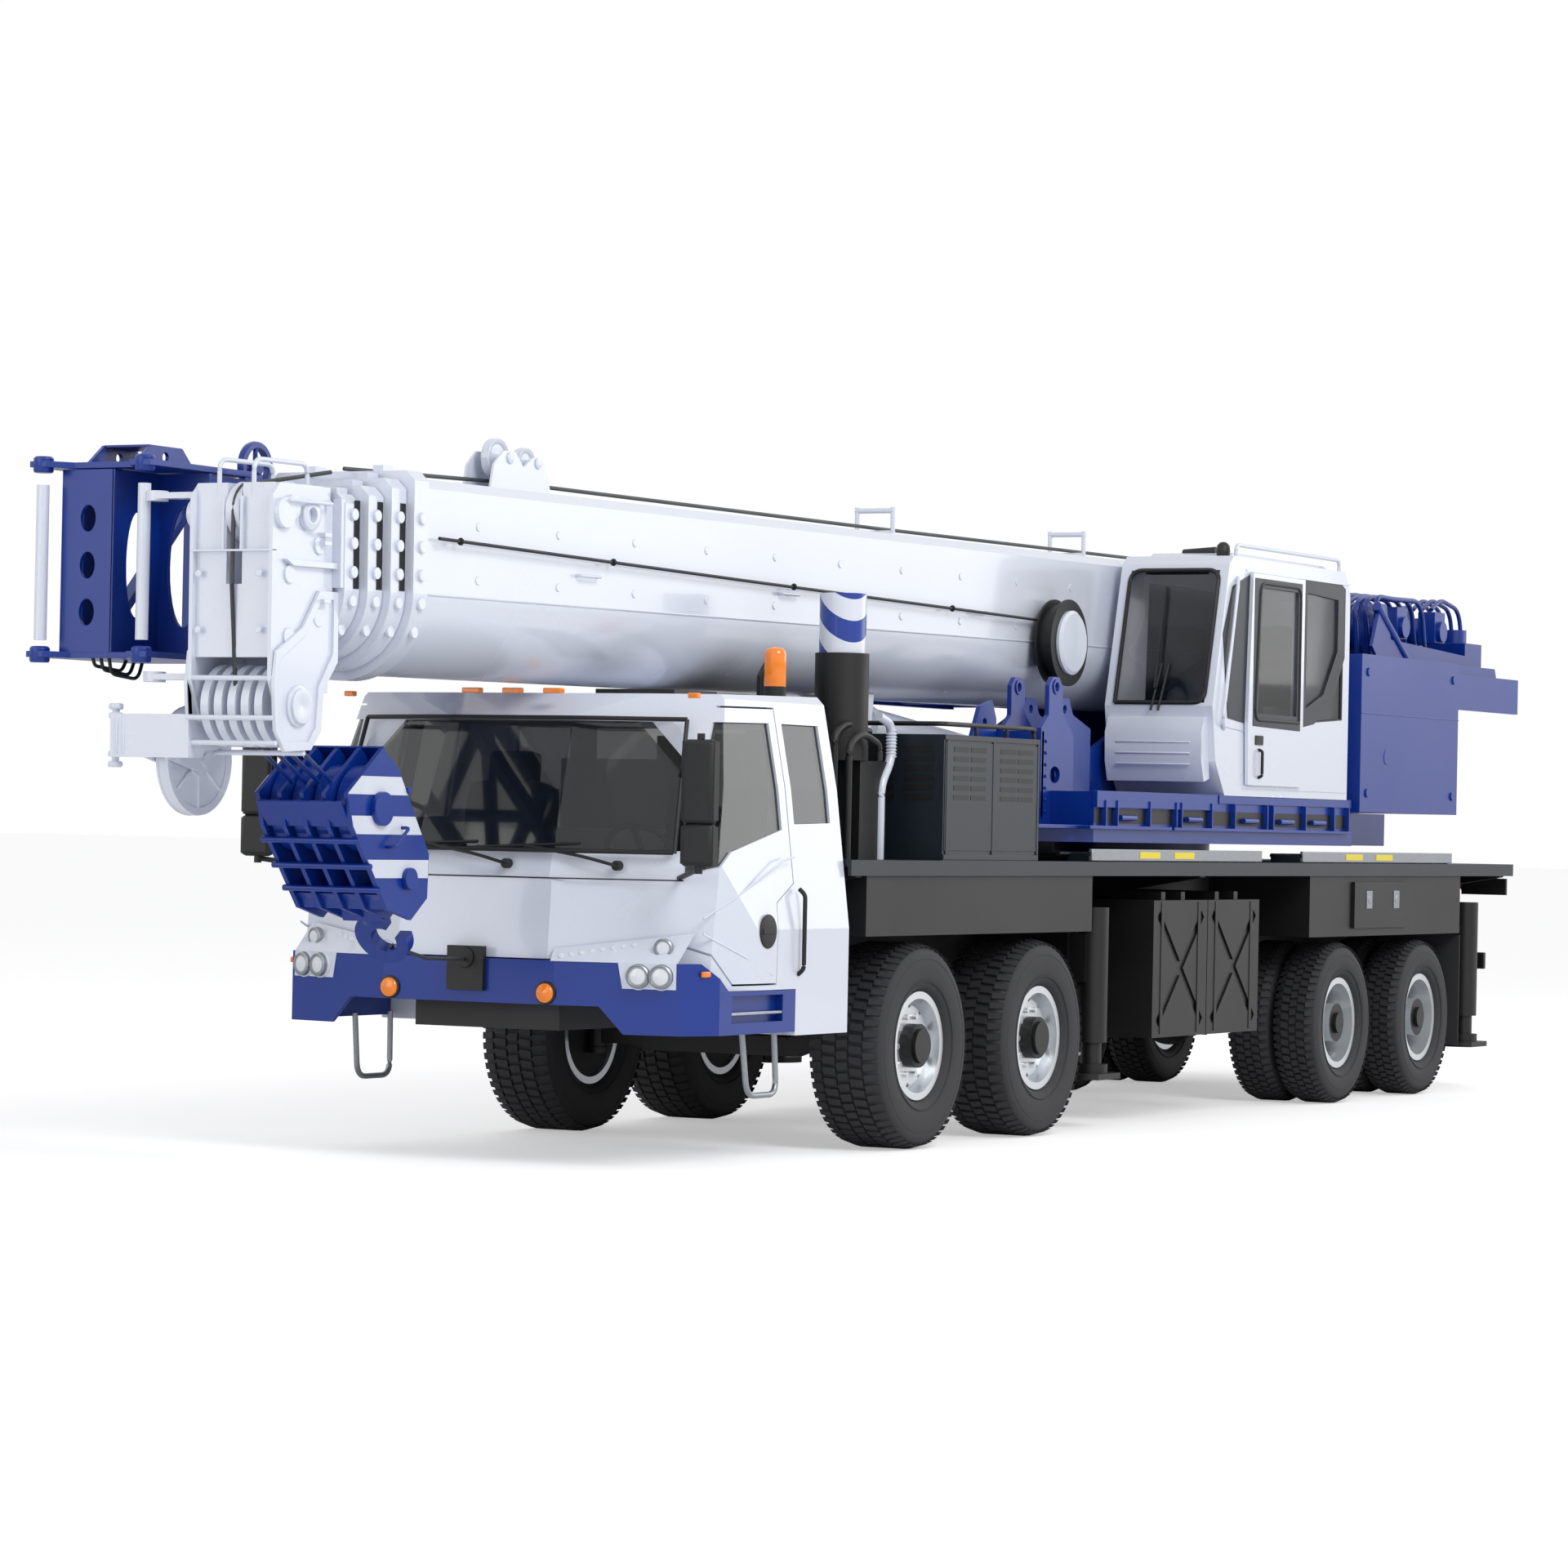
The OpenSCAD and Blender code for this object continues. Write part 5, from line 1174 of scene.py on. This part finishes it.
def make_head_shapes():
    white = Shape()
    half = HEAD_HALF
    cheek = [(11.30, -0.12), (11.46, -0.12), (11.60, -0.30), (11.82, -0.42), (11.84, -0.58), (11.82, -0.80),
             (11.74, -0.90), (11.52, -0.89), (11.44, -0.80), (11.42, -0.60), (11.30, -0.46)]
    rim = [(11.34, -0.16), (11.44, -0.16), (11.58, -0.34), (11.79, -0.46), (11.81, -0.58), (11.79, -0.77),
           (11.72, -0.86), (11.54, -0.85), (11.48, -0.78), (11.46, -0.58), (11.34, -0.42)]
    for side in (-1, 1):
        y = side * half
        white.plate(cheek, y, y + side * 0.022, on_boom, [rim[::-1]])
        white.plate(cheek, y, y + side * 0.006, on_boom)
        white.lathe([(0.10, 0.0), (0.10, 0.02), (0.085, 0.024), (0.085, 0.04), (0.03, 0.042),
                     (0.001, 0.036)],
                    on_boom(11.62, y, -0.68), (0, side, 0), 36)
        # Bearing ring of the top sheave and the fly jib's pin boss
        white.lathe([(0.075, 0.0), (0.075, 0.03), (0.066, 0.035), (0.036, 0.035), (0.036, 0.0),
                     (0.075, 0.0)],
                    on_boom(11.55, y, 0.24), (0, side, 0), 36, capped=False)
        white.lathe([(0.06, 0.0), (0.06, 0.02), (0.04, 0.024), (0.001, 0.024)], on_boom(11.69, y, 0.27),
                    (0, side, 0), 30)
        # Vertical stiffener with its gusset
        white.plate([(11.30, 0.33), (11.33, 0.33), (11.33, -0.10), (11.30, -0.10)], y, y + side * 0.05,
                    on_boom)
        white.plate([(11.33, 0.02), (11.33, -0.01), (11.70, -0.01), (11.76, 0.02)], y, y + side * 0.03,
                    on_boom)
        for w in (0.10, 0.14, -0.18):
            white.box((11.40, y - 0.02, w), (11.46, y + 0.045, w + 0.02), on_boom)
    for u, w in ((11.826, -0.55), (11.80, -0.86), (11.56, -0.905), (11.825, -0.74)):
        white.tube([on_boom(u, -half - 0.01, w), on_boom(u, half + 0.01, w)], 0.013, 12)
    # Front face: seam strip and the notch's lips
    face = HEAD_END - 0.006
    white.box((face - 0.03, -half, 0.055), (face + 0.0075, half, 0.065), on_boom)
    for y in (-0.058, 0.046):
        white.box((face - 0.01, y, 0.06), (face + 0.002, y + 0.012, 0.32), on_boom)
    for y in (-0.19, 0.16):
        for w in (-0.05, -0.32):
            white.disc(on_boom(face, y, w), X, 0.018, 0.007, 12)
    # Top sheave with its spokes
    centre = on_boom(11.69, 0.0, 0.25)
    white.lathe([(0.112, -0.040), (0.146, -0.038), (0.146, -0.028), (0.130, -0.008), (0.130, 0.008),
                 (0.146, 0.028),
                 (0.146, 0.038), (0.112, 0.040)], centre, Y, 48, capped=False)
    white.spokes(centre, 6, 0.0, 0.03, 0.12, 0.032)
    # Single line sheave on the swing arm: rim, hub and spokes stand out from its web
    centre = on_boom(11.48, -0.45, -0.945)
    for side in (-1, 1):
        face = centre + Vector((0, side * 0.02, 0))
        white.lathe([(0.232, 0.0), (0.232, 0.012), (0.268, 0.016), (0.271, 0.0)], face, (0, side, 0), 56,
                    capped=False)
        white.lathe([(0.08, 0.0), (0.08, 0.016), (0.04, 0.022), (0.036, 0.022)], face, (0, side, 0), 30)
        white.spokes(face, 7, 0.2, 0.07, 0.24, 0.013)
    # Pin, rollers and grab bars at the end of the swing arm
    for w in (-0.97, -0.92, -0.735, -0.69):
        white.lathe([(0.03, 0.0), (0.036, 0.008), (0.036, 0.022), (0.03, 0.03)],
                    on_boom(11.785, -0.70, w - 0.015),
                    Z, 20)
    for y in (-0.66, -0.62):
        white.tube([on_boom(11.831, y, -0.92), on_boom(11.831, y, -0.74)], 0.007, 8)
    # Link plates to the stowed jib's foot
    for w in (0.315, -0.56):
        white.box((11.70, -0.50, w), (11.80, -half + 0.01, w + 0.03), on_boom)
        white.lathe([(0.055, 0.0), (0.055, 0.05)], on_boom(11.75, -0.50, w - 0.01), Z, 24)
    white.build("boom_head_plates", "boom_5", "white_paint", bevel=0.0025)


def make_uprights():
    blue = Shape()
    tower = [(-2.66, 1.80), (-2.20, 1.80), (-2.20, 2.40), (-2.30, 2.48), (-2.30, 2.66), (-2.35, 2.71),
             (-2.44, 2.71),
             (-2.49, 2.66), (-2.49, 2.50), (-2.66, 2.36)]
    for y, dx in ((0.58, -0.10), (0.88, 0.0)):
        shifted = [(x + dx, z) for x, z in tower]
        blue.plate(shifted, y, y + 0.03, holes=[oval(-2.395 + dx, 2.65, 0.026, 0.026, 20),
                                                oval(-2.40 + dx, 2.12, 0.07, 0.05)])
        blue.lathe([(0.045, 0), (0.045, 0.045), (0.028, 0.045), (0.028, 0), (0.045, 0)],
                   at(-2.395 + dx, y - 0.007, 2.65),
                   Y, 28, capped=False)
    low_tower = [(-2.20, 1.80), (-1.80, 1.80), (-1.86, 2.30), (-1.98, 2.52), (-2.14, 2.56), (-2.20, 2.45)]
    blue.plate(low_tower, 0.58, 0.61, holes=[oval(-2.04, 2.42, 0.03, 0.03, 20)])
    blue.box((-2.24, 0.58, 1.86), (-2.21, 0.91, 2.38))
    blue.box((-2.64, 0.60, 2.30), (-2.30, 0.88, 2.33))
    for k in range(7):
        blue.disc(at(-2.24 - 0.025, 0.91, 1.90 + 0.07 * k), Y, 0.011, 0.01, 8)
    back = [(-3.30, 2.02), (-2.80, 2.02), (-2.76, 2.50), (-2.86, 2.60), (-2.98, 2.60), (-3.04, 2.50),
            (-3.30, 2.42)]
    for y in (0.47, 0.70):
        blue.plate(back, y, y + 0.025, holes=[oval(-2.92, 2.53, 0.026, 0.026, 20)])
    # Base plates, the smooth upper beam and the flange along the left platform
    for x0, x1, y0, y1, z0, z1 in ((-2.90, -1.66, 0.55, 1.16, 1.80, 1.822),
                                   (-3.40, -2.20, 0.60, 1.245, 1.80, 1.82),
                                   (-6.40, -3.44, 1.15, 1.245, 1.80, 1.818),
                                   (-4.15, -2.335, 1.19, 1.225, 1.93, 2.03),
                                   (-6.44, -4.20, 1.19, 1.215, 1.975, 2.03)):
        blue.box((x0, y0, z0), (x1, y1, z1))
    for x in (-2.45, -2.62, -3.10, -3.50, -3.58, -4.05, -4.42, -4.95, -5.05, -5.60, -6.10, -6.36):
        blue.box((x - 0.007, 1.195, 1.818), (x + 0.007, 1.235, 1.975))
    for x in (-2.8, -3.8, -4.7, -5.3, -5.85):
        blue.tube([at(x - 0.1, 1.22, 1.87), at(x + 0.12, 1.22, 1.87)], 0.018, 12)
    blue.build("front_uprights", "upper", "blue_paint", bevel=0.002)
    # Thin black sheet in the recess below the platform's upper beam: painted shade, standing in for the
    # shadow that falls there
    shade = Shape()
    shade.box((-6.43, 1.1985, 1.835), (-2.345, 1.2015, 1.925))
    shade.build("platform_recess_painted_shade", "upper", "black_steel")


def make_winch_gear():
    blue = Shape()
    for x in DRUMS:
        blue.lathe([(0.20, 0.0), (0.22, 0.02), (0.22, 0.10), (0.17, 0.13), (0.17, 0.30), (0.19, 0.32),
                    (0.19, 0.38),
                    (0.10, 0.42), (0.10, 0.55), (0.06, 0.58)], at(x, 0.352, DRUM_Z), Y, 40)
        blue.lathe([(0.18, 0.0), (0.20, 0.02), (0.20, 0.06), (0.11, 0.09), (0.10, 0.2)],
                   at(x, -0.352, DRUM_Z), (0, -1, 0), 40)
        for k in range(12):
            a = 2 * math.pi * k / 12
            blue.disc(at(x + 0.195 * math.cos(a), 0.452, DRUM_Z + 0.195 * math.sin(a)), Y, 0.014, 0.016, 8)
        blue.box((x - 0.10, 0.86, 3.18), (x + 0.10, 0.99, 3.40))
        blue.tube([at(x, 0.80, DRUM_Z), at(x, 1.02, DRUM_Z)], 0.075, 20)
    # Side frame, brace tubes and the valve block on the left
    frame_line = [(-9.30, 2.95), (-7.30, 3.02), (-7.20, 3.10), (-7.35, 3.40), (-7.45, 3.40),
                  (-7.55, 3.16), (-9.10, 3.10)]
    blue.plate(frame_line, 1.02, 1.045)
    blue.plate([(-9.45, 2.72), (-8.40, 2.72), (-8.40, 3.02), (-9.30, 3.02)], 1.15, 1.17)
    blue.box((-9.60, 0.60, 2.86), (-8.36, 1.19, 2.89))
    blue.box((-9.42, 0.72, 2.89), (-9.08, 1.02, 3.20))
    blue.tube([at(-9.25, 0.87, 3.2), at(-9.25, 0.87, 3.30)], 0.09, 24)
    blue.tube([at(-7.30, 1.03, 3.38), at(-7.95, 1.03, 2.98)], 0.035, 12)
    blue.tube([at(-9.55, 1.19, 2.78), at(-9.62, 1.19, 2.78)], 0.03, 12)
    for x in (-8.55, -9.0, -9.4):
        blue.box((x - 0.01, 0.64, 2.73), (x + 0.01, 1.19, 2.86))
    blue.build("winch_gearboxes", "upper", "blue_paint", bevel=0.003)

    hoses = Shape()
    for k in range(6):
        y = 0.60 + 0.075 * k
        hoses.bent([(-7.42 - 0.02 * k, y, 3.03), (-7.40, y, 3.36 + 0.02 * k), (-7.70, y, 3.50 - 0.01 * k),
                    (-8.25, y + 0.02, 3.46), (-8.40, y, 3.05)], 0.017, 0.16)
    for k in range(4):
        y = 0.72 + 0.07 * k
        hoses.bent([(-8.62, y, 3.42), (-8.8, y, 3.50), (-9.18, y, 3.44), (-9.25, y, 3.18)], 0.016, 0.12)
    hoses.build("winch_hoses_left", "upper", "blue_paint")

    plain = Shape()
    for side in (-1, 1):
        plain.disc(at(-6.98, side * 1.25, 2.33), (0, side, 0), 0.055, 0.004)
        for x, z in ((-6.62, 2.9), (-8.24, 2.9), (-6.62, 2.08), (-8.24, 2.08)):
            plain.disc(at(x, side * 1.25, z), (0, side, 0), 0.03, 0.012, 16)
        plain.tube([at(-6.5, side * 1.2505, 2.62), at(-8.35, side * 1.2505, 2.62)], 0.005, 6)
    for x in (-6.75, -8.1):
        for y in (-0.9, 0.9):
            plain.plate([(x - 0.09, 3.015), (x + 0.09, 3.015), (x + 0.05, 3.12), (x - 0.05, 3.12)],
                        y - 0.015, y + 0.015,
                        holes=[oval(x, 3.07, 0.025, 0.025, 16)])
    plain.build("counterweight_fittings", "upper", "blue_paint", bevel=0.003)


def make_operator_cab_trim():
    dark = Shape()
    skin = 1.2155
    dark.plate([(-4.625, 2.49), (-4.30, 2.52), (-4.20, 3.05), (-4.34, 3.36), (-4.625, 3.45)], skin,
               skin + 0.006)
    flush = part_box("operator_door")[0].y - 0.0004
    dark.plate([(-6.27, 3.44), (-6.20, 3.47), (-5.44, 3.47), (-5.44, 2.48), (-5.75, 2.52), (-6.05, 2.66),
                (-6.27, 2.98)],
               flush - 0.006, flush, holes=[[(-6.14, 3.36), (-5.60, 3.38), (-5.60, 2.62), (-5.90, 2.72),
                                             (-6.14, 3.02)]])
    dark.build("operator_window_surround", "upper", "black_plastic", [slate_enamel()], bevel=0.002)
    door = Shape()
    skin = 1.2455
    door.plate([(-5.425, 2.465), (-4.635, 2.48), (-4.635, 3.43), (-5.425, 3.43)], skin, skin + 0.005,
               holes=[[(-5.36, 2.56), (-4.71, 2.56), (-4.76, 3.37), (-5.36, 3.37)]])
    door.build("operator_door_surround", "cab_slide", "black_plastic", [slate_enamel()], bevel=0.002)
    pull = Shape()
    pull.bent([(-4.74, 1.246, 2.15), (-4.74, 1.275, 2.16), (-4.74, 1.275, 2.32), (-4.74, 1.246, 2.33)],
              0.01, 0.02)
    pull.box((-4.80, 1.246, 2.36), (-4.68, 1.256, 2.42))
    pull.build("operator_door_handle", "cab_slide", "black_plastic", bevel=0.003)

    white = Shape()
    chin = [(-4.135, 2.13), (-4.05, 2.11), (-4.005, 2.24), (-4.0, 2.42), (-4.045, 2.52), (-4.10, 2.52)]
    white.plate(chin, 0.50, 1.17)
    for z in (2.22, 2.29, 2.36):
        white.tube([at(-4.0, 0.58, z), at(-4.0, 1.09, z)], 0.006, 8)
    white.tube([at(-4.62, 1.217, 2.44), at(-4.22, 1.217, 2.47)], 0.006, 8)
    roof = [(-6.18, 3.553), (-4.50, 3.553), (-4.56, 3.585), (-6.10, 3.585)]
    white.plate(roof, 0.56, 1.12)
    white.build("operator_cab_panels", "upper", "white_paint", bevel=0.012)

    black = Shape()
    black.box((-4.42, 0.62, 3.44), (-4.32, 1.02, 3.475))
    black.tube([at(-4.62, 0.75, 3.585), at(-4.62, 0.98, 3.60)], 0.03, 16)
    black.box((-4.52, 0.64, 2.52), (-4.30, 0.80, 2.56))
    black.lathe([(0.035, 0.0), (0.035, 0.012), (0.012, 0.014), (0.012, 0.2)], at(-4.75, 0.62, 2.06), Z, 20)
    black.build("operator_cab_small_parts", "upper", "black_plastic", bevel=0.004)


def make_cooler():
    panel = Shape()
    face = 1.2852
    panel.box((-1.375, face, 1.66), (-0.165, face + 0.004, 2.27))
    panel.box((-1.385, face - 0.01, 2.28), (-0.155, face + 0.006, 2.31))
    panel.box((-1.385, face - 0.01, 1.61), (-0.155, face + 0.006, 1.64))
    for x in (-1.37, -0.78, -0.19):
        panel.box((x - 0.012, face, 1.64), (x + 0.012, face + 0.007, 2.28))
    panel.build("cooler_panel", "carrier", "frame_paint", [slate_enamel()], bevel=0.002)
    slots = Shape()
    for x0, x1 in ((-1.30, -0.86), (-0.68, -0.26)):
        for k in range(6):
            z = 1.945 + 0.054 * k
            for share in (0.0, 0.52):
                a = x0 + (x1 - x0) * share
                slots.box((a, face + 0.002, z), (a + (x1 - x0) * 0.46, face + 0.0055, z + 0.028))
    for y0 in (0.54, 0.80, 1.04):
        for k in range(6):
            z = 1.945 + 0.054 * k
            slots.box((-0.151, y0, z), (-0.1465, y0 + 0.18, z + 0.028))
    slots.build("cooler_louvres", "carrier", "black_plastic")
    rails = Shape()
    rails.bent([(-1.36, 1.26, 2.30), (-1.36, 1.26, 2.37), (-0.18, 1.26, 2.37), (-0.18, 0.52, 2.37),
                (-0.18, 0.52, 2.30)], 0.014, 0.05)
    for x in (-1.0, -0.6):
        rails.tube([at(x, 1.26, 2.30), at(x, 1.26, 2.37)], 0.012, 8)
    # Boom rest: pierced plate and the flat pad
    rails.plate([(0.56, 2.30), (0.80, 2.30), (0.80, 2.60), (0.72, 2.68), (0.64, 2.68), (0.56, 2.60)],
                0.605, 0.63,
                holes=[oval(0.68, 2.58, 0.04, 0.04, 20)])
    rails.tube([at(-0.05, 0.40, 2.34), at(-0.95, 0.40, 2.34)], 0.02, 12)
    for x in (-0.85, -0.15):
        rails.box((x - 0.06, -0.2, 2.28), (x + 0.06, 0.2, 2.30))
    rails.build("deck_rails", "carrier", "black_steel", bevel=0.002)


def make_rear():
    flaps = Shape()
    for side in (-1, 1):
        outline = [(side * y, z) for y, z in ((0.66, 0.32), (1.27, 0.32), (1.27, 1.10), (0.66, 1.10))]
        flaps.wall(-8.42, outline, [], 0.012)
    flaps.build("mud_flaps", "carrier", "black_plastic", [tyre_rubber()], bevel=0.003)
    parts = Shape()
    for side in (-1, 1):
        parts.slab((-9.40, -9.10), side * 1.13, 0.10, (1.53, 1.565))
        parts.tube([at(-9.42, side * 0.5, 1.0), at(-9.30, side * 0.5, 1.3)], 0.03, 12)
    parts.box((-9.415, -1.10, 0.84), (-9.375, 1.10, 0.96))
    for side in (-1, 1):
        parts.slab((-9.40, -9.36), side * 0.46, 0.04, (0.9, 1.25))
    parts.build("rear_guard", "carrier", "black_steel", bevel=0.006)


def make_seats():
    for side, word in ((1, "left"), (-1, "right")):
        y = side * 0.640
        cushion(f"seat_pad_{word}", "carrier", at(1.585, y, 1.262), (0.60, 0.53, 0.165),
                channels=(-0.35, 0.3))
        cushion(f"seat_back_{word}", "carrier", at(1.335, y, 1.655), (0.70, 0.53, 0.20),
                lean=math.radians(-101),
                channels=(-0.4, 0.0, 0.4))
        cushion(f"head_rest_{word}", "carrier", at(1.278, y, 2.05), (0.23, 0.29, 0.13),
                lean=math.radians(-97))
    cushion("operator_seat_pad", "upper", at(-5.49, 0.84, 2.462), (0.55, 0.50, 0.155), channels=(-0.3, 0.35))
    cushion("operator_seat_back", "upper", at(-5.762, 0.84, 2.83), (0.70, 0.50, 0.19),
            lean=math.radians(-101),
            channels=(-0.35, 0.1, 0.5))


# Stage
def make_stage():
    scene = bpy.context.scene
    floor_mesh = bpy.data.meshes.new("floor")
    size = 260
    floor_mesh.from_pydata([(-size, -size, 0), (size, -size, 0), (size, size, 0), (-size, size, 0)], [],
                           [[0, 1, 2, 3]])
    floor = put("floor", floor_mesh)
    # Matt painted studio floor: nearly white with a soft mottle
    paint = surface("pale studio floor", "#f6f6f7", "#f2f2f4", 0.7, 0.05, grain_mm=400, bump_mm=0.01)
    floor_mesh.materials.append(paint)
    floor_rays = add_node(paint.node_tree, "ShaderNodeLightPath")
    lift = add_node(paint.node_tree, "ShaderNodeMapRange", values={3: 0.0, 4: props().floor_lift},
                    links={0: floor_rays.outputs["Is Camera Ray"]})
    floor_shader = paint.node_tree.nodes["Principled BSDF"]
    floor_shader.inputs["Emission Color"].default_value = (1, 1, 1, 1)
    paint.node_tree.links.new(lift.outputs[0], floor_shader.inputs["Emission Strength"])

    world = bpy.data.worlds.new("studio")
    scene.world = world
    world.use_nodes = True
    tree = world.node_tree
    back = tree.nodes["Background"]
    rays = add_node(tree, "ShaderNodeLightPath")
    seen = add_node(tree, "ShaderNodeMath", {"operation": "MAXIMUM"},
                    links={0: rays.outputs["Is Camera Ray"], 1: rays.outputs["Is Glossy Ray"]})
    shown = add_node(tree, "ShaderNodeMath", {"operation": "MAXIMUM"},
                     links={0: seen.outputs[0], 1: rays.outputs["Is Transmission Ray"]})
    level = add_node(tree, "ShaderNodeMapRange", values={3: props().sky_light, 4: 1.0},
                     links={0: shown.outputs[0]})
    tree.links.new(level.outputs[0], back.inputs["Strength"])
    back.inputs["Color"].default_value = (1, 1, 1, 1)

    target = Vector((AXLE_1 - 2.3, 0, 1.6))
    # Soft lamps: place, size in metres and power in watts
    for name, place, size, power in (("key", (10, 16, 15), 9, 2100), ("fill", (22, -6, 7), 12, 650),
                                     ("back", (-16, 12, 9), 12, 750)):
        light = bpy.data.lights.new(name, "AREA")
        light.shape = "SQUARE"
        light.size = size
        light.energy = power
        lamp = put(name, light)
        lamp.location = place
        lamp.rotation_euler = (target - Vector(place)).to_track_quat("-Z", "Y").to_euler()

    camera_data = bpy.data.cameras.new("camera")
    camera_data.sensor_width = SENSOR
    camera_data.lens = SENSOR * FOCAL / PICTURE
    camera_data.clip_end = 900
    camera = put("camera", camera_data)
    yaw, pitch, roll = (math.radians(a) for a in CAMERA_TURN)
    ahead = Vector((math.cos(yaw) * math.cos(pitch), math.sin(yaw) * math.cos(pitch), math.sin(pitch)))
    right = ahead.cross(Vector(Z)).normalized()
    up = right.cross(ahead)
    right_rolled = right * math.cos(roll) + up * math.sin(roll)
    up_rolled = up * math.cos(roll) - right * math.sin(roll)
    turn = Matrix((right_rolled, up_rolled, -ahead)).transposed().to_4x4()
    camera.matrix_world = Matrix.Translation(at(*CAMERA_PLACE)) @ turn
    scene.camera = camera
    scene.view_settings.view_transform = "Standard"


# Add-on
class CraneFinishes(bpy.types.PropertyGroup):
    """Colours of the crane."""
    white: StringProperty(name="White", description="Cab and boom enamel as sRGB hex", default="#dfe4f0")
    blue: StringProperty(name="Blue", description="Superstructure enamel as sRGB hex", default="#003496")
    sky_light: FloatProperty(name="Sky light", description="Strength of the studio's ambient light",
                             default=0.50)
    floor_lift: FloatProperty(name="Floor lift", description="Light that the floor adds for the camera",
                              default=0.42)
    tread_depth: FloatProperty(name="Tread depth", description="Depth of the tyre tread in millimetres",
                               default=17.0)
    tread_pitches: IntProperty(name="Tread pitches", description="Tread blocks round a tyre", default=58)


def props():
    return bpy.context.scene.crane_finishes


class CraneStage(bpy.types.Operator):
    """Floor, lamps, world and camera"""
    bl_idname = "crane.stage"
    bl_label = "Stage"

    def execute(self, context):
        make_stage()
        return {"FINISHED"}


class CraneDress(bpy.types.Operator):
    """Materials of the CAD pieces"""
    bl_idname = "crane.finishes"
    bl_label = "Finishes"

    def execute(self, context):
        dress_frame()
        return {"FINISHED"}


class CraneTyres(bpy.types.Operator):
    """Tyres with cut tread"""
    bl_idname = "crane.tyres"
    bl_label = "Tyres"

    def execute(self, context):
        make_tyres()
        return {"FINISHED"}


class CraneCabFront(bpy.types.Operator):
    """Wipers, gaskets, lamps and coupling"""
    bl_idname = "crane.cab_front"
    bl_label = "Cab front"

    def execute(self, context):
        make_cab_front()
        return {"FINISHED"}


class CraneCabSides(bpy.types.Operator):
    """Handles, steps, mirrors and beacon"""
    bl_idname = "crane.cab_sides"
    bl_label = "Cab sides"

    def execute(self, context):
        make_cab_sides()
        return {"FINISHED"}


class CraneSeats(bpy.types.Operator):
    """Cushions in both cabs"""
    bl_idname = "crane.seats"
    bl_label = "Seats"

    def execute(self, context):
        make_seats()
        return {"FINISHED"}


class CraneDeck(bpy.types.Operator):
    """Ladders, reflectors, pipes, latches and shafts"""
    bl_idname = "crane.deck"
    bl_label = "Deck fittings"

    def execute(self, context):
        make_deck_fittings()
        return {"FINISHED"}


class CraneCooler(bpy.types.Operator):
    """Louvred panel, rails and boom rest"""
    bl_idname = "crane.cooler"
    bl_label = "Cooler and rails"

    def execute(self, context):
        make_cooler()
        return {"FINISHED"}


class CraneRear(bpy.types.Operator):
    """Mud flaps and rear guard"""
    bl_idname = "crane.rear"
    bl_label = "Rear fittings"

    def execute(self, context):
        make_rear()
        return {"FINISHED"}


class CraneBoom(bpy.types.Operator):
    """Seams, cable, reel, rope stand, rope and collar bosses"""
    bl_idname = "crane.boom"
    bl_label = "Boom fittings"

    def execute(self, context):
        make_boom_fittings()
        return {"FINISHED"}


class CraneHead(bpy.types.Operator):
    """Plates, sheaves, rope and bosses of the head"""
    bl_idname = "crane.head"
    bl_label = "Boom head"

    def execute(self, context):
        make_head_shapes()
        make_head_fittings()
        return {"FINISHED"}


class CraneJib(bpy.types.Operator):
    """End frame of the stowed jib"""
    bl_idname = "crane.jib"
    bl_label = "Jib foot"

    def execute(self, context):
        make_jib_end()
        return {"FINISHED"}


class CraneHook(bpy.types.Operator):
    """Bands and covers of the block, and the sling"""
    bl_idname = "crane.hook"
    bl_label = "Hook fittings"

    def execute(self, context):
        make_hook_fittings()
        return {"FINISHED"}


class CraneUprights(bpy.types.Operator):
    """Pierced plates ahead of the operator's cab"""
    bl_idname = "crane.uprights"
    bl_label = "Front uprights"

    def execute(self, context):
        make_uprights()
        return {"FINISHED"}


class CraneUpper(bpy.types.Operator):
    """Rails, wiper, gaskets, drum rope and hoses"""
    bl_idname = "crane.upper"
    bl_label = "Superstructure fittings"

    def execute(self, context):
        make_upper_fittings()
        return {"FINISHED"}


class CraneOperatorCab(bpy.types.Operator):
    """Surrounds, chin panel and handle"""
    bl_idname = "crane.operator_cab"
    bl_label = "Operator's cab trim"

    def execute(self, context):
        make_operator_cab_trim()
        return {"FINISHED"}


class CraneWinches(bpy.types.Operator):
    """Gearboxes, hoses and counterweight fittings"""
    bl_idname = "crane.winches"
    bl_label = "Winch gear"

    def execute(self, context):
        make_winch_gear()
        return {"FINISHED"}


OPERATORS = [CraneStage, CraneDress, CraneTyres, CraneCabFront, CraneCabSides, CraneSeats, CraneDeck,
             CraneCooler, CraneRear, CraneBoom, CraneHead,
             CraneJib, CraneHook, CraneUprights, CraneUpper, CraneOperatorCab, CraneWinches]


class CRANE_PT_panel(bpy.types.Panel):
    """The crane's settings and steps."""
    bl_label = "Truck crane"
    bl_idname = "CRANE_PT_panel"
    bl_space_type = "VIEW_3D"
    bl_region_type = "UI"
    bl_category = "Truck crane"

    def draw(self, context):
        for name in ("white", "blue", "sky_light", "floor_lift", "tread_depth", "tread_pitches"):
            self.layout.prop(props(), name)
        for operator in OPERATORS:
            self.layout.operator(operator.bl_idname)


CLASSES = [CraneFinishes] + OPERATORS + [CRANE_PT_panel]


def register():
    for one in CLASSES:
        bpy.utils.register_class(one)
    bpy.types.Scene.crane_finishes = PointerProperty(type=CraneFinishes)


def unregister():
    del bpy.types.Scene.crane_finishes
    for one in reversed(CLASSES):
        bpy.utils.unregister_class(one)


def main():
    register()
    for operator in OPERATORS:
        getattr(bpy.ops.crane, operator.bl_idname.split(".")[1])()


if __name__ == "__main__":
    main()
